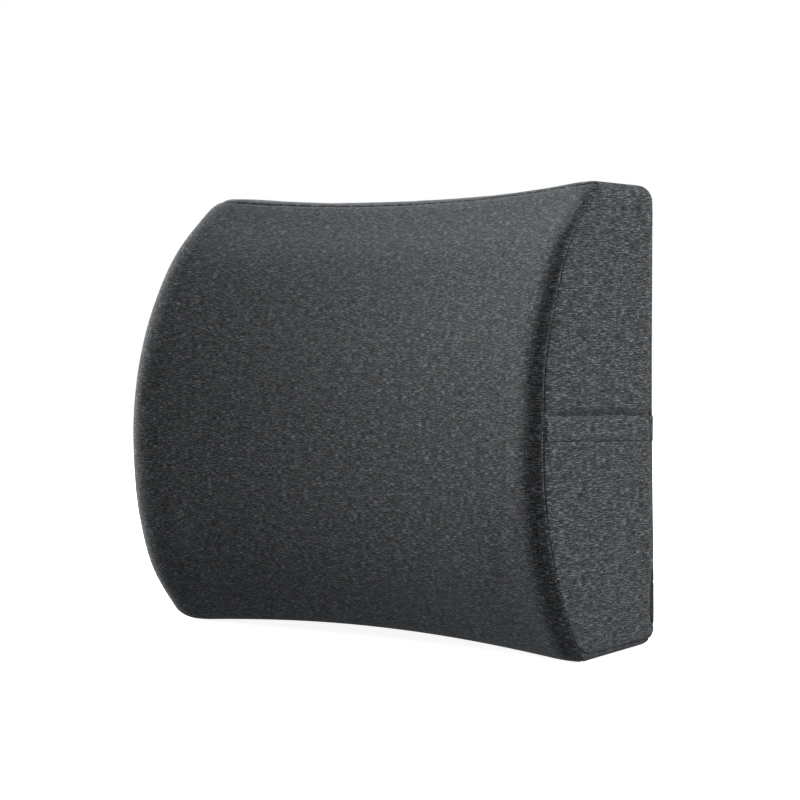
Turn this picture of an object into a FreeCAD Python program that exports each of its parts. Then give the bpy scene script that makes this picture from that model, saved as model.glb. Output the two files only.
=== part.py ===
import FreeCAD, Part
import math
import os

# Lumbar support cushion: a foam core in a thin liner, inside a sewn cover that comes off
# through a zip low on its back, with an elastic strap and a side-release buckle across the
# back.  Millimetres.  +Z is up, +X is to the right when looking at the front, and the
# hollowed front, which the user's back rests on, faces -Y.  It stands on its bottom edge.
# Everything is built with the back face at y = 0, and moved at the end so that the origin
# is the middle of the footprint.

Vector = FreeCAD.Vector

# ---- cushion form ---------------------------------------------------------------------
HEIGHT = 320.0
WIDTH = 348.0             # across the back face
SIDE_FLARES = (4, 8.6, 10.2, 9.8, 9.4, 7.6, 6.3, 3.1, 0)      # lean out at the front, going up
BACK_FLARES = (2.6, 2.4, 1.6, 0.8, 0.3, 0, 0, 0, 0)           # and at the back
HOLLOWS = (8, 15, 20, 19, 14)           # how much shallower the front's middle is, going up
TOP_DIP = 7.5             # how far the top edge sinks in its middle
BOTTOM_ARCH = 9.5         # how far the bottom edge rises in its middle
FOOT = 1.0                # its own weight presses the two low ends flat by this much
SIDE_DEPTHS = (99, 126.8, 141.5, 147.8, 148.2, 143.1, 129.4, 107, 66)     # back to seam
EDGE_ROUNDS = (24, 22.5, 18.5, 18, 12)  # radius of the front's side edges, going up
EDGE_TURN = math.radians(60)            # they turn by this much before they reach the seam
CORNER_BOTTOM = 8.0       # corner radii seen from the back
CORNER_TOP = 10.0
LIP_BOTTOM = 12.0         # how far the front curls back at its bottom and top edges
LIP_TOP = 5.0
INNER_ROWS = 7            # rows between the corner rounds
INNER_COLUMNS = 9         # columns between the edge rounds

# ---- layers ---------------------------------------------------------------------------
COVER = 1.4
LINER = 0.8
GAP = 0.2                 # air between one layer and the next
SEAM_BACK = 2.0           # the front panel's seam lies this far behind its bottom edge
TOP_SEAM_DROP = 1.9       # and this far below its top edge
TOP_SEAM_RAMP = 12.0      # at each end the top seam rises to the edge over this length
SIDE_SEAM_Z = 3.0         # the bottom panel turns up the sides to here
BAND_T = 0.8              # side band, a strip of the cover's cloth sewn over the side
BAND_W = 18.0
BAND_Z = 151.4            # middle of the strap and the buckle, and of the band at the back
BAND_SLOPE = 0.034        # the band climbs towards the front
BAND_REACH = 200.0        # more than the depth of a side

# ---- zip ------------------------------------------------------------------------------
ZIP_Z = 46.0
ZIP_HALF = 150.0          # half the slot's length
SLOT_HALF = 6.0           # half the slot's height
TAPE_W = 12.0
TAPE_T = 0.7
COIL_HALF = 144.0         # half the length of a row of teeth
COIL_GAP = 1.5            # between the two rows
COIL_W = 2.3
COIL_H = 2.0
TOOTH_PITCH = 4.0
TOOTH_LEN = 2.2
SPINE_W = 0.8             # cord that the teeth stand on
STOP_LEN = 3.0
SLIDER_X = 136.0          # middle of the slider when the zip is closed
SLIDER_LEN = 12.0
SLIDER_HALF_W = 5.0
PLATE_T = 1.2
FLANGE_T = 1.0
POST_T = 0.9
POST_LEN = 4.0
CLEAR = 0.3               # running gap beside anything that moves
BRIDGE_LEN = 6.0
BRIDGE_H = 2.8
PIN_R = 0.7
PIN_HOLE_R = 0.76
PULL_LEN = 24.0
PULL_HALF_W = 3.2
PULL_WINDOW = 4.6         # inside length of the pull's eye, from its pin
GROOVE_HALF = 14.0        # dent that the zip presses into the liner and the core
GROOVE_DEEP = 4.5
PIN_LIFT = 1.35           # the pull's pin stands this far off the slider's plate

# ---- strap and buckle -----------------------------------------------------------------
STRAP_W = 18.0
STRAP_T = 1.4
STRAP_OFF = 2.2           # the strap's inner face stands this far off the back
SEWN_RUN = 18.0           # the strap rises to STRAP_OFF over this length from the side
FOLD_RUN = 14.0           # a folded-back end comes down onto the strap over this length
SOCKET_END = -54.0        # where the strap's sewn end at the socket stops
TAIL_END = 98.0           # where the loose tail at the plug stops
BAR_R = 1.6
LOOP_IN = 1.75            # inside radius where webbing turns round a bar
BUCKLE_T = 9.0
BUCKLE_HALF = 14.0
RAIL_IN = 9.7             # inside of the rails beside the webbing
SOCKET_X0 = -34.0
SOCKET_X1 = 8.0           # mouth
SOCKET_SLOT = (-32.0, -25.0)
CAVITY_X0 = -22.0
CAVITY_HALF = 11.5
CAVITY_T = 5.4
WINDOW = (-18.0, -5.0)    # side windows that the prongs snap into
PLUG_X0 = 8.4             # shoulder that stops at the socket's mouth
PLUG_SLOT_X = 15.5
PLUG_BAR_X = 23.0         # bar that the webbing turns round
GRIP_BAR_X = 30.0         # bar between the two layers, which holds the tail by friction
PLUG_X1 = 32.0
PLUG_T = 7.4
TONGUE_HALF = 2.5
TONGUE_T = 3.4
TONGUE_X0 = -12.0
PRONG_HINGE_X = 10.6
PRONG_Z = 9.0             # middle of each prong's arm, from the buckle's middle
PRONG_HALF = 1.0
PRONG_T = 4.4
PRONG_TIP_X = -17.0
PRONG_REACH = 13.4        # outer face of a prong's head
PRONG_ROOT_R = 1.3
KEEPER_X = 48.0
KEEPER_LEN = 8.0
KEEPER_T = 1.0

LOOP_OUT = LOOP_IN + STRAP_T
BAR_Y = STRAP_OFF + LOOP_OUT            # middle plane of the buckle
TAIL_Y = STRAP_OFF + STRAP_T + 0.1      # inner face of the second layer of webbing
COIL_TOP = COIL_H - COVER
PLATE_Y = COIL_TOP + CLEAR              # underside of the slider's outer plate
PIN_Y = PLATE_Y + PLATE_T + PIN_LIFT
FAR = 400.0               # beyond everything


# ---- helpers --------------------------------------------------------------------------
def smooth(values, t):
    """Height of a smooth curve through evenly spaced values, at t from 0 to 1."""
    last = len(values) - 1
    place = min(max(t, 0.0), 1.0) * last
    i = min(int(place), last - 1)
    f = place - i
    a, b = values[i], values[i + 1]
    before = values[i - 1] if i > 0 else 2 * a - b
    after = values[i + 2] if i + 2 <= last else 2 * b - a
    slope_a = (b - before) / 2
    slope_b = (after - a) / 2
    return (a * (1 + 2 * f) * (1 - f) ** 2 + b * f * f * (3 - 2 * f)
            + slope_a * f * (1 - f) ** 2 - slope_b * f * f * (1 - f))


def box(x0, x1, y0, y1, z0, z1):
    return Part.makeBox(x1 - x0, y1 - y0, z1 - z0, Vector(x0, y0, z0))


def centred(x0, x1, thickness, half_height):
    """A block on the buckle's middle plane and middle line."""
    return box(x0, x1, BAR_Y - thickness / 2, BAR_Y + thickness / 2,
               BAND_Z - half_height, BAND_Z + half_height)


def upright_bar(radius, x, y, half_height, z):
    return Part.makeCylinder(radius, 2 * half_height, Vector(x, y, z - half_height), Vector(0, 0, 1))


def prism_xy(points, z0, z1):
    """An outline in plan, raised from z0 to z1."""
    corners = [Vector(x, y, z0) for x, y in points]
    return Part.Face(Part.makePolygon(corners + corners[:1])).extrude(Vector(0, 0, z1 - z0))


def prism_yz(points, x0, x1):
    """An outline seen from the side, carried from x0 to x1."""
    corners = [Vector(x0, y, z) for y, z in points]
    return Part.Face(Part.makePolygon(corners + corners[:1])).extrude(Vector(x1 - x0, 0, 0))


def prism_xz(points, y0, y1):
    """An outline seen from the back, carried from y0 to y1."""
    corners = [Vector(x, y0, z) for x, z in points]
    return Part.Face(Part.makePolygon(corners + corners[:1])).extrude(Vector(0, y1 - y0, 0))


def round_edges(shape, radius, wanted):
    """Fillet the edges that the test picks."""
    return shape.makeFillet(radius, [edge for edge in shape.Edges if wanted(edge)])


def along_x(edge):
    ends = edge.BoundBox
    return ends.XLength > 1 and ends.YLength < 0.01 and ends.ZLength < 0.01


def plain(shape):
    """The solid itself where a cut leaves just one, tidied."""
    shape = shape.removeSplitter()
    return shape.Solids[0] if len(shape.Solids) == 1 else shape


# ---- cushion form ---------------------------------------------------------------------
def height_rows():
    """Rows going up: height, corner cut and lip, close together in the corner rounds."""
    steps = [math.radians(a) for a in (0, 22.5, 45, 67.5, 90)]
    low = [(CORNER_BOTTOM * (1 - math.cos(a)), CORNER_BOTTOM * (1 - math.sin(a)),
            LIP_BOTTOM * (1 - math.sin(a))) for a in steps]
    high = [(HEIGHT - CORNER_TOP * (1 - math.cos(a)), CORNER_TOP * (1 - math.sin(a)),
             LIP_TOP * (1 - math.sin(a))) for a in reversed(steps)]
    span = HEIGHT - CORNER_BOTTOM - CORNER_TOP
    middle = [(CORNER_BOTTOM + span * (i + 1) / (INNER_ROWS + 1), 0.0, 0.0)
              for i in range(INNER_ROWS)]
    return low + middle + high


def width_columns():
    """Columns going right: place u between the edge rounds, and angle into the round."""
    steps = [EDGE_TURN * i / 4 for i in range(1, 5)]
    middle = [(2 * i / (INNER_COLUMNS - 1) - 1, 0.0) for i in range(INNER_COLUMNS)]
    return [(-1.0, -a) for a in reversed(steps)] + middle + [(1.0, a) for a in steps]


def full_depth(t, u, lip):
    """Depth of the front from the back face, before its side edges round over."""
    return smooth(SIDE_DEPTHS, t) + edge_fall(t) - smooth(HOLLOWS, t) * (1 - u * u) - lip


def edge_fall(t):
    """How far the rounded side edges of the front fall back to their seams."""
    return smooth(EDGE_ROUNDS, t) * (1 - math.cos(EDGE_TURN))


def front_depth(t, u, angle, lip):
    return full_depth(t, u, lip) - smooth(EDGE_ROUNDS, t) * (1 - math.cos(angle))


def seam_depth(t, u, angle, lip):
    """Depth of the surface that parts the front panel from the panels behind it."""
    return full_depth(t, u, lip) - SEAM_BACK - (edge_fall(t) - SEAM_BACK) * u ** 4


def cushion_solid(skin, depth=front_depth, depth_skin=None):
    """The cushion's form drawn in by skin all round, or let out where skin is negative."""
    if depth_skin is None:
        depth_skin = skin
    low = skin if skin > 0 else skin - FOOT
    grid = []
    back = []
    for row_z, cut, lip in height_rows():
        z = low + (HEIGHT - skin - low) * row_z / HEIGHT
        t = min(max(z / HEIGHT, 0.0), 1.0)
        straight = WIDTH / 2 - skin - cut
        half = straight + smooth(BACK_FLARES, row_z / HEIGHT)
        front_half = straight + smooth(SIDE_FLARES, row_z / HEIGHT)
        edge = smooth(EDGE_ROUNDS, t)
        flat_half = front_half - edge * math.sin(EDGE_TURN)
        row = []
        for u, angle in width_columns():
            x = u * flat_half + edge * math.sin(angle)
            bow = 1 - (x / front_half) ** 2
            lift = bow * (BOTTOM_ARCH * (1 - t) ** 2 - TOP_DIP * t * t)
            row.append(Vector(x, depth_skin - depth(t, u, angle, lip), z + lift))
        grid.append(row)
        back.append((half, half / front_half, z))
    surface = Part.BSplineSurface()
    surface.interpolate(grid)
    u0, u1, v0, v1 = surface.bounds()
    front_edges = [surface.uIso(u0), surface.uIso(u1), surface.vIso(v0), surface.vIso(v1)]
    back_rows = [[Vector(p.x * back[i][1], -skin, p.z) for p in grid[i]] for i in (0, -1)]
    back_rows += [[Vector(side * half, -skin, z) for half, _, z in back] for side in (-1, 1)]
    faces = [surface.toShape()]
    back_edges = []
    for front_curve, points in zip(front_edges, back_rows):
        curve = Part.BSplineCurve()
        curve.interpolate(points)
        back_edges.append(curve.toShape())
        faces.append(Part.makeRuledSurface(front_curve.toShape(), back_edges[-1]))
    faces.append(Part.Face(Part.Wire(Part.__sortEdges__(back_edges))))
    shell = Part.Shell(faces)
    shell.sewShape()
    solid = Part.Solid(shell.Shells[0] if shell.ShapeType != "Shell" else shell)
    if solid.Volume < 0:
        solid.reverse()
    return solid


def groove(extra):
    half = ZIP_HALF + 4 + extra
    return box(-half, half, -GROOVE_DEEP - extra, 1,
               ZIP_Z - GROOVE_HALF - extra, ZIP_Z + GROOVE_HALF + extra)


def make_core_and_liner():
    liner_skin = COVER + GAP
    core_skin = liner_skin + LINER + GAP
    liner = cushion_solid(liner_skin).cut(groove(0))
    hollow = cushion_solid(liner_skin + LINER).cut(groove(LINER))
    core = cushion_solid(core_skin).cut(groove(LINER + GAP))
    return {"foam_core": core, "inner_liner": liner.cut(hollow)}


def make_cover(outer, behind_seam):
    """The six cloth panels: the shell between two forms, parted along the seams."""
    shell = outer.cut(cushion_solid(COVER))
    rear = shell.common(behind_seam)
    back_zone = box(-FAR, FAR, -COVER, FAR, -FAR, FAR)
    back = outer.common(back_zone)
    gusset = rear.cut(back_zone)
    top_half = WIDTH / 2 - CORNER_TOP
    low_half = WIDTH / 2 - CORNER_BOTTOM
    low_zone = box(-FAR, FAR, -FAR, FAR, -FAR, SIDE_SEAM_Z).fuse(
        box(-low_half, low_half, -FAR, FAR, 0, HEIGHT / 2))
    top_zone = box(-top_half, top_half, -FAR, FAR, HEIGHT / 2, FAR)
    right_zone = box(0, FAR, -FAR, FAR, -FAR, FAR)
    sides = gusset.cut(low_zone).cut(top_zone)
    slot = box(-ZIP_HALF, ZIP_HALF, -FAR, FAR, ZIP_Z - SLOT_HALF, ZIP_Z + SLOT_HALF)
    hem_zone = box(-FAR, FAR, -FAR, FAR, -FAR, ZIP_Z)
    return {
        "front_panel": shell.cut(behind_seam),
        "top_panel": gusset.common(top_zone),
        "bottom_panel": gusset.common(low_zone),
        "side_panel_right": sides.common(right_zone),
        "side_panel_left": sides.cut(right_zone),
        "back_panel": back.cut(hem_zone).cut(slot),
        "back_hem": back.common(hem_zone).cut(slot),
    }


def band_zone(side):
    """A slab on one side, which climbs towards the front as the band does."""
    low, high = BAND_Z - BAND_W / 2, BAND_Z + BAND_W / 2
    climb = BAND_SLOPE * BAND_REACH
    outline = [(0, low), (0, high), (-BAND_REACH, high + climb), (-BAND_REACH, low + climb)]
    return prism_yz(outline, side * WIDTH / 4, side * FAR)


def make_side_bands(outer, behind_seam):
    layer = cushion_solid(-BAND_T).cut(outer).common(behind_seam)
    return {
        "side_band_right": layer.common(band_zone(1)),
        "side_band_left": layer.common(band_zone(-1)),
    }


def top_strip():
    """Zone of the front that belongs to the top panel: a narrow strip along its top edge."""
    top_half = WIDTH / 2 - CORNER_TOP
    level_half = top_half - TOP_SEAM_RAMP
    count = 24
    places = [level_half * (2 * i / count - 1) for i in range(count + 1)]
    seam = [(x, HEIGHT - TOP_DIP * (1 - (x / top_half) ** 2) - TOP_SEAM_DROP) for x in places]
    ends = [(top_half, HEIGHT), (top_half, FAR), (-top_half, FAR), (-top_half, HEIGHT)]
    return prism_xz(seam + ends, -FAR, -smooth(SIDE_DEPTHS, 1) / 2)


# ---- zip ------------------------------------------------------------------------------
def zip_box(side, near, wide, x0, x1, y0, y1):
    """A block above (side 1) or below (side -1) the zip's middle line."""
    z0, z1 = sorted((ZIP_Z + side * near, ZIP_Z + side * (near + wide)))
    return box(x0, x1, y0, y1, z0, z1)


def make_zip_half(side):
    near = COIL_GAP / 2
    tape = zip_box(side, near, TAPE_W, -ZIP_HALF, ZIP_HALF, -COVER - TAPE_T, -COVER)
    spine = zip_box(side, near + COIL_W - SPINE_W, SPINE_W, -COIL_HALF, COIL_HALF,
                    -COVER, -COVER + COIL_H / 2)
    teeth = []
    shift = 0 if side > 0 else TOOTH_PITCH / 2
    count = int((2 * COIL_HALF - TOOTH_LEN - shift) / TOOTH_PITCH) + 1
    for i in range(count):
        x = -COIL_HALF + shift + i * TOOTH_PITCH
        teeth.append(zip_box(side, near, COIL_W, x, x + TOOTH_LEN, -COVER, COIL_TOP))
    return tape, spine.multiFuse(teeth)


def zip_clamp(side, x0):
    """A stop crimped over the end of one row of teeth."""
    near = COIL_GAP / 2
    return zip_box(side, near, COIL_W, x0, x0 + STOP_LEN, -COVER, COIL_TOP + 0.2)


def make_slider():
    x0, x1 = SLIDER_X - SLIDER_LEN / 2, SLIDER_X + SLIDER_LEN / 2
    low, high = ZIP_Z - SLIDER_HALF_W, ZIP_Z + SLIDER_HALF_W
    under_y = -COVER - TAPE_T - CLEAR
    outer_plate = box(x0, x1, PLATE_Y, PLATE_Y + PLATE_T, low, high)
    outer_plate = outer_plate.makeFillet(2.5, [e for e in outer_plate.Edges
                                              if e.BoundBox.YLength > 1])
    inner_plate = box(x0 + 1, x1 - 1, under_y - PLATE_T, under_y, low + 0.5, high - 0.5)
    post = box(x1 - 2 - POST_LEN, x1 - 2, under_y, PLATE_Y,
               ZIP_Z - POST_T / 2, ZIP_Z + POST_T / 2)
    flanges = [zip_box(side, SLIDER_HALF_W - FLANGE_T, FLANGE_T, x0 + 2.5, x1 - 2.5,
                       CLEAR - COVER, PLATE_Y) for side in (1, -1)]
    bridge_y = PLATE_Y + PLATE_T
    bridge = box(SLIDER_X - BRIDGE_LEN / 2, SLIDER_X + BRIDGE_LEN / 2,
                 bridge_y - 0.2, bridge_y + BRIDGE_H, ZIP_Z - 1, ZIP_Z + 1)
    bridge = bridge.makeFillet(1.2, [e for e in bridge.Edges if e.BoundBox.ZLength > 1
                                     and e.CenterOfMass.y > bridge_y + 1])
    hole = upright_bar(PIN_HOLE_R, SLIDER_X, PIN_Y, 2, ZIP_Z)
    return outer_plate.multiFuse([inner_plate, post, bridge] + flanges).cut(hole)


def make_pull():
    """The pull lies flat along the teeth; its pin turns in the slider's bridge."""
    y0, y1 = PIN_Y - PIN_R, PIN_Y + PIN_R
    pin = upright_bar(PIN_R, SLIDER_X, PIN_Y, PULL_HALF_W, ZIP_Z)
    tab = box(SLIDER_X - PULL_LEN, SLIDER_X, y0, y1, ZIP_Z - PULL_HALF_W, ZIP_Z + PULL_HALF_W)
    tab = tab.makeFillet(2.4, [e for e in tab.Edges if e.BoundBox.YLength > 1
                               and e.CenterOfMass.x < SLIDER_X - 1])
    eye = box(SLIDER_X - PULL_WINDOW, SLIDER_X + 1, y0 - 1, y1 + 1, ZIP_Z - 1.5, ZIP_Z + 1.5)
    finger_hole = box(SLIDER_X - PULL_LEN + 3, SLIDER_X - PULL_LEN + 13, y0 - 1, y1 + 1,
                      ZIP_Z - 1.4, ZIP_Z + 1.4)
    finger_hole = finger_hole.makeFillet(1.2, [e for e in finger_hole.Edges
                                               if e.BoundBox.YLength > 1])
    return tab.cut(eye).cut(finger_hole).fuse(pin)


def make_zip():
    parts = {}
    for side, name in ((1, "upper"), (-1, "lower")):
        tape, coil = make_zip_half(side)
        parts["zipper_tape_" + name] = tape
        parts["zipper_coil_" + name] = coil
    parts["zipper_top_stops"] = Part.makeCompound([zip_clamp(side, COIL_HALF)
                                                   for side in (1, -1)])
    parts["zipper_bottom_stop"] = box(-COIL_HALF - STOP_LEN, -COIL_HALF, -COVER, COIL_TOP + 0.2,
                                      ZIP_Z - COIL_GAP / 2 - COIL_W, ZIP_Z + COIL_GAP / 2 + COIL_W)
    parts["zipper_slider"] = make_slider()
    parts["zipper_pull"] = make_pull()
    return parts


# ---- strap and buckle -----------------------------------------------------------------
def make_strap(side, bar_x, level, end_x):
    """Webbing sewn in at one side, carried to a bar, round it, and back to end_x.

    The layer that comes back stays level for a while before it comes down.
    """
    z0, z1 = BAND_Z - STRAP_W / 2, BAND_Z + STRAP_W / 2
    sewn_x = side * (WIDTH / 2 - 1)
    rise_x = sewn_x - side * SEWN_RUN
    run = prism_xy([(sewn_x, 0.05), (rise_x, STRAP_OFF), (bar_x, STRAP_OFF),
                    (bar_x, STRAP_OFF + STRAP_T), (rise_x, STRAP_OFF + STRAP_T),
                    (sewn_x, 0.05 + STRAP_T)], z0, z1)
    level_x = bar_x + side * level
    fold_x = level_x + side * FOLD_RUN
    back = prism_xy([(bar_x, BAR_Y + LOOP_IN), (level_x, BAR_Y + LOOP_IN), (fold_x, TAIL_Y),
                     (end_x, TAIL_Y), (end_x, TAIL_Y + STRAP_T), (fold_x, TAIL_Y + STRAP_T),
                     (level_x, BAR_Y + LOOP_OUT), (bar_x, BAR_Y + LOOP_OUT)], z0, z1)
    turn = upright_bar(LOOP_OUT, bar_x, BAR_Y, STRAP_W / 2, BAND_Z)
    turn = turn.cut(upright_bar(LOOP_IN, bar_x, BAR_Y, STRAP_W, BAND_Z))
    near, far = sorted((bar_x, bar_x + side * 10))
    turn = turn.cut(box(near, far, -10, 30, z0 - 1, z1 + 1))
    stitch_a, stitch_b = sorted((fold_x, fold_x + side * 2))
    parts = [turn, back]
    if side < 0:
        parts.append(box(stitch_a, stitch_b, STRAP_OFF + STRAP_T - 0.1, TAIL_Y + 0.1, z0, z1))
    return run.multiFuse(parts)


def buckle_block(x0, x1, thickness):
    block = centred(x0, x1, thickness, BUCKLE_HALF)
    return round_edges(block, 2.0, along_x)


def make_socket():
    body = buckle_block(SOCKET_X0, SOCKET_X1, BUCKLE_T)
    body = body.cut(centred(CAVITY_X0, SOCKET_X1 + 1, CAVITY_T, CAVITY_HALF))
    body = body.cut(centred(WINDOW[0], WINDOW[1], CAVITY_T, BUCKLE_HALF + 1))
    body = body.cut(centred(SOCKET_X0 - 1, SOCKET_SLOT[1], BUCKLE_T + 1, RAIL_IN))
    bar = upright_bar(BAR_R, SOCKET_SLOT[0], BAR_Y, RAIL_IN + 1, BAND_Z)
    return body.fuse(bar)


def make_plug():
    body = buckle_block(PLUG_X0, PLUG_X1, PLUG_T)
    body = body.cut(centred(PLUG_SLOT_X, PLUG_X1 + 1, PLUG_T + 1, RAIL_IN))
    bars = [upright_bar(BAR_R, x, BAR_Y, RAIL_IN + 1, BAND_Z) for x in (PLUG_BAR_X, GRIP_BAR_X)]
    tongue = centred(TONGUE_X0, PLUG_X0 + 1, TONGUE_T, TONGUE_HALF)
    body = body.multiFuse(bars + [tongue])
    pocket_r = PRONG_ROOT_R + CLEAR
    half_t = PRONG_T / 2 + CLEAR
    for side in (1, -1):
        z = BAND_Z + side * PRONG_Z
        pocket = upright_y(pocket_r, PRONG_HINGE_X, z, half_t)
        mouth = box(PLUG_X0 - 1, PRONG_HINGE_X, BAR_Y - half_t, BAR_Y + half_t,
                    z - pocket_r, z + pocket_r)
        body = body.cut(pocket).cut(mouth)
    return body


def upright_y(radius, x, z, half_length):
    """A round bar square to the back, on the buckle's middle plane."""
    return Part.makeCylinder(radius, 2 * half_length, Vector(x, BAR_Y - half_length, z),
                             Vector(0, 1, 0))


def make_prong(side):
    """A sprung arm with a barbed head that fills a window of the socket."""
    latch_x = WINDOW[1] - 0.4
    inner, outer = PRONG_Z - PRONG_HALF, PRONG_Z + PRONG_HALF
    outline = [(PRONG_HINGE_X, inner), (PRONG_HINGE_X, outer), (latch_x, outer),
               (latch_x, PRONG_REACH), (latch_x - 5, PRONG_REACH), (PRONG_TIP_X, outer - 0.3),
               (PRONG_TIP_X, inner)]
    points = [(x, BAND_Z + side * z) for x, z in outline]
    arm = prism_xz(points, BAR_Y - PRONG_T / 2, BAR_Y + PRONG_T / 2)
    root = upright_y(PRONG_ROOT_R, PRONG_HINGE_X, BAND_Z + side * PRONG_Z, PRONG_T / 2)
    return arm.fuse(root)


def make_keeper():
    """An elastic loop round both layers of webbing, which holds the loose tail down."""
    gap = CLEAR
    y0, y1 = STRAP_OFF - gap, TAIL_Y + STRAP_T + gap
    half = STRAP_W / 2 + gap
    x0, x1 = KEEPER_X, KEEPER_X + KEEPER_LEN
    outside = box(x0, x1, y0 - KEEPER_T, y1 + KEEPER_T, BAND_Z - half - KEEPER_T,
                  BAND_Z + half + KEEPER_T)
    outside = round_edges(outside, 1.2, along_x)
    return outside.cut(box(x0 - 1, x1 + 1, y0, y1, BAND_Z - half, BAND_Z + half))


def make_strap_and_buckle():
    return {
        "strap_left": make_strap(-1, SOCKET_SLOT[0], 1.0, SOCKET_END),
        "strap_right": make_strap(1, PLUG_BAR_X, GRIP_BAR_X + BAR_R - PLUG_BAR_X, TAIL_END),
        "buckle_socket": make_socket(),
        "buckle_plug": make_plug(),
        "prong_upper": make_prong(1),
        "prong_lower": make_prong(-1),
        "strap_keeper": make_keeper(),
    }


# ---- build ----------------------------------------------------------------------------
floor = box(-WIDTH, WIDTH, -WIDTH, WIDTH, -HEIGHT, 0)
outer = cushion_solid(0).cut(floor)
behind_seam = cushion_solid(-5, seam_depth, 0).fuse(top_strip())
pieces = {}
pieces.update(make_core_and_liner())
pieces.update(make_cover(outer, behind_seam))
pieces.update(make_side_bands(outer, behind_seam))
pieces.update(make_zip())
pieces.update(make_strap_and_buckle())

front_reach = -outer.optimalBoundingBox().YMin
rear_reach = BAR_Y + BUCKLE_T / 2
place = Vector(0, (front_reach - rear_reach) / 2, 0)
print("back face at y = %.2f" % place.y)

os.makedirs("parts", exist_ok=True)
for name, shape in pieces.items():
    shape = plain(shape)
    shape.translate(place)
    shape.exportStep("parts/" + name + ".step")
    print("%-20s solids %d  volume %11.1f  %s" % (
        name, len(shape.Solids), shape.Volume, "valid" if shape.isValid() else "NOT VALID"))
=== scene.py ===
import math

import bmesh
import bpy
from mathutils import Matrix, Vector
from mathutils.bvhtree import BVHTree
from mathutils.kdtree import KDTree

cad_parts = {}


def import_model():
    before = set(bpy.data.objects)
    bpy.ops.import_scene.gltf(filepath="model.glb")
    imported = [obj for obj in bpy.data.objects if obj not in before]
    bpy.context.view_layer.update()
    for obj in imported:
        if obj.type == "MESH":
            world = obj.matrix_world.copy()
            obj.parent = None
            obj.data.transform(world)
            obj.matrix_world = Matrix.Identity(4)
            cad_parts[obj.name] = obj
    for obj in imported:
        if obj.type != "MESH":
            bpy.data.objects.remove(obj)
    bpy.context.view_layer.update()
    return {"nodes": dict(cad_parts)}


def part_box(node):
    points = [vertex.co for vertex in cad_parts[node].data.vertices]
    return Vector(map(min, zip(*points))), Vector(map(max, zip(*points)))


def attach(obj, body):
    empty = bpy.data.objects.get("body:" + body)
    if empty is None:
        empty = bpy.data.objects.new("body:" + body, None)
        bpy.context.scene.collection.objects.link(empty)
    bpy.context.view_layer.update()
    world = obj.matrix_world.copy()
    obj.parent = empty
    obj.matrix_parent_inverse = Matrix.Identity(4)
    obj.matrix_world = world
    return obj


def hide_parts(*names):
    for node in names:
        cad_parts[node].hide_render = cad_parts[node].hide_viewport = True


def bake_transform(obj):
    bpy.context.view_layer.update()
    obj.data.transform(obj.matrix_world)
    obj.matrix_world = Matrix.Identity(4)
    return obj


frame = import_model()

# Lumbar support cushion.  The form is worked out in millimetres, with the back face at y = 0,
# the front towards -Y and the foot at z = 0, and world() takes it into the frame's metres.

MM = 0.001
_, BACK_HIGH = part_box("back_panel")
BACK_Y = BACK_HIGH[1]
HEIGHT = BACK_HIGH[2] / MM
WIDTH = 348.0             # across the back face

# ---- cushion form ---------------------------------------------------------------------
SIDE_FLARES = (7.5, 11, 10.6, 9.8, 9.4, 7.6, 6.3, 3.1, 0)      # lean out at the front, going up
BACK_FLARES = (2.6, 2.4, 1.6, 0.8, 0.3, 0, 0, 0, 0)           # and at the back
HOLLOWS = (6, 13.2, 18.3, 17.6, 13)           # how much shallower the front's middle is, going up
TOP_DIP = 8.2             # the top edge's middle is this much lower than its ends
BOTTOM_ARCH = 8.8         # and the bottom edge's this much higher
FOOT = 1.0                # the form starts this far below the floor, which flattens its foot
SIDE_DEPTHS = (99, 126.8, 141.5, 147.8, 148.2, 143.1, 129.4, 107, 66)     # back to seam
EDGE_RUNS = (28, 28, 26, 25, 20)        # length of the front's side edges' rounds, going up
EDGE_TURN = math.radians(60)            # they turn by this much before they reach the seam
EDGE_BEND = 2.1                         # above 1, most of the turn is close to the seam
CORNER_BOTTOM = 9.5       # radius of the front's bottom corners
CORNER_TOP = 10.0         # and of its top ones
CORNERS_BACK = (16.0, 12.5)   # the back's bottom and top corners are rounder
LIP_BOTTOM = 12.0         # the front draws back by this much at its foot
LIP_TOP = 5.0             # and at its top
SEAM_BACK = 2.0           # in the middle, the top and bottom seams run this far behind its edge
SIDE_SEAM_Z = 5.5         # the bottom panel turns up the sides to this height
SIDE_SEAM_FRONT = 18.0    # and to this one at the front seam
SEAM_CURL = 16.0          # between them its seam curls down over this distance
GUSSET_START = (0.0, 1.3, 2.6, 4.6, 7.0)   # from the front seam, points across a gusset
GUSSET_STEPS = 14         # more of them, as far as GUSSET_REST before its back edge
GUSSET_REST = 10.0
GUSSET_END_STEPS = 11     # and round that edge to the back seam, from GUSSET_END before it
GUSSET_END = 8.6
BACK_EDGE_R = 2.2         # radius of the back's edge
BACK_SEAM = -3.0          # where the back's seam runs on that edge: below 0 on the back face
BACK_SEAM_WRAP = 7.0      # low on the sides, the back's mesh comes round the edge this far
WRAP_START = (10.0, 20.0)  # heights between which the seam moves from the one to the other
WRAP_END = (30.0, 84.0)   # and back again
BACK_RINGS = 9.0          # width of the back's border inside that edge
RING_PLACES = (0.0, 0.18, 0.3, 0.4, 0.5, 1.0)   # lines across the border

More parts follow.
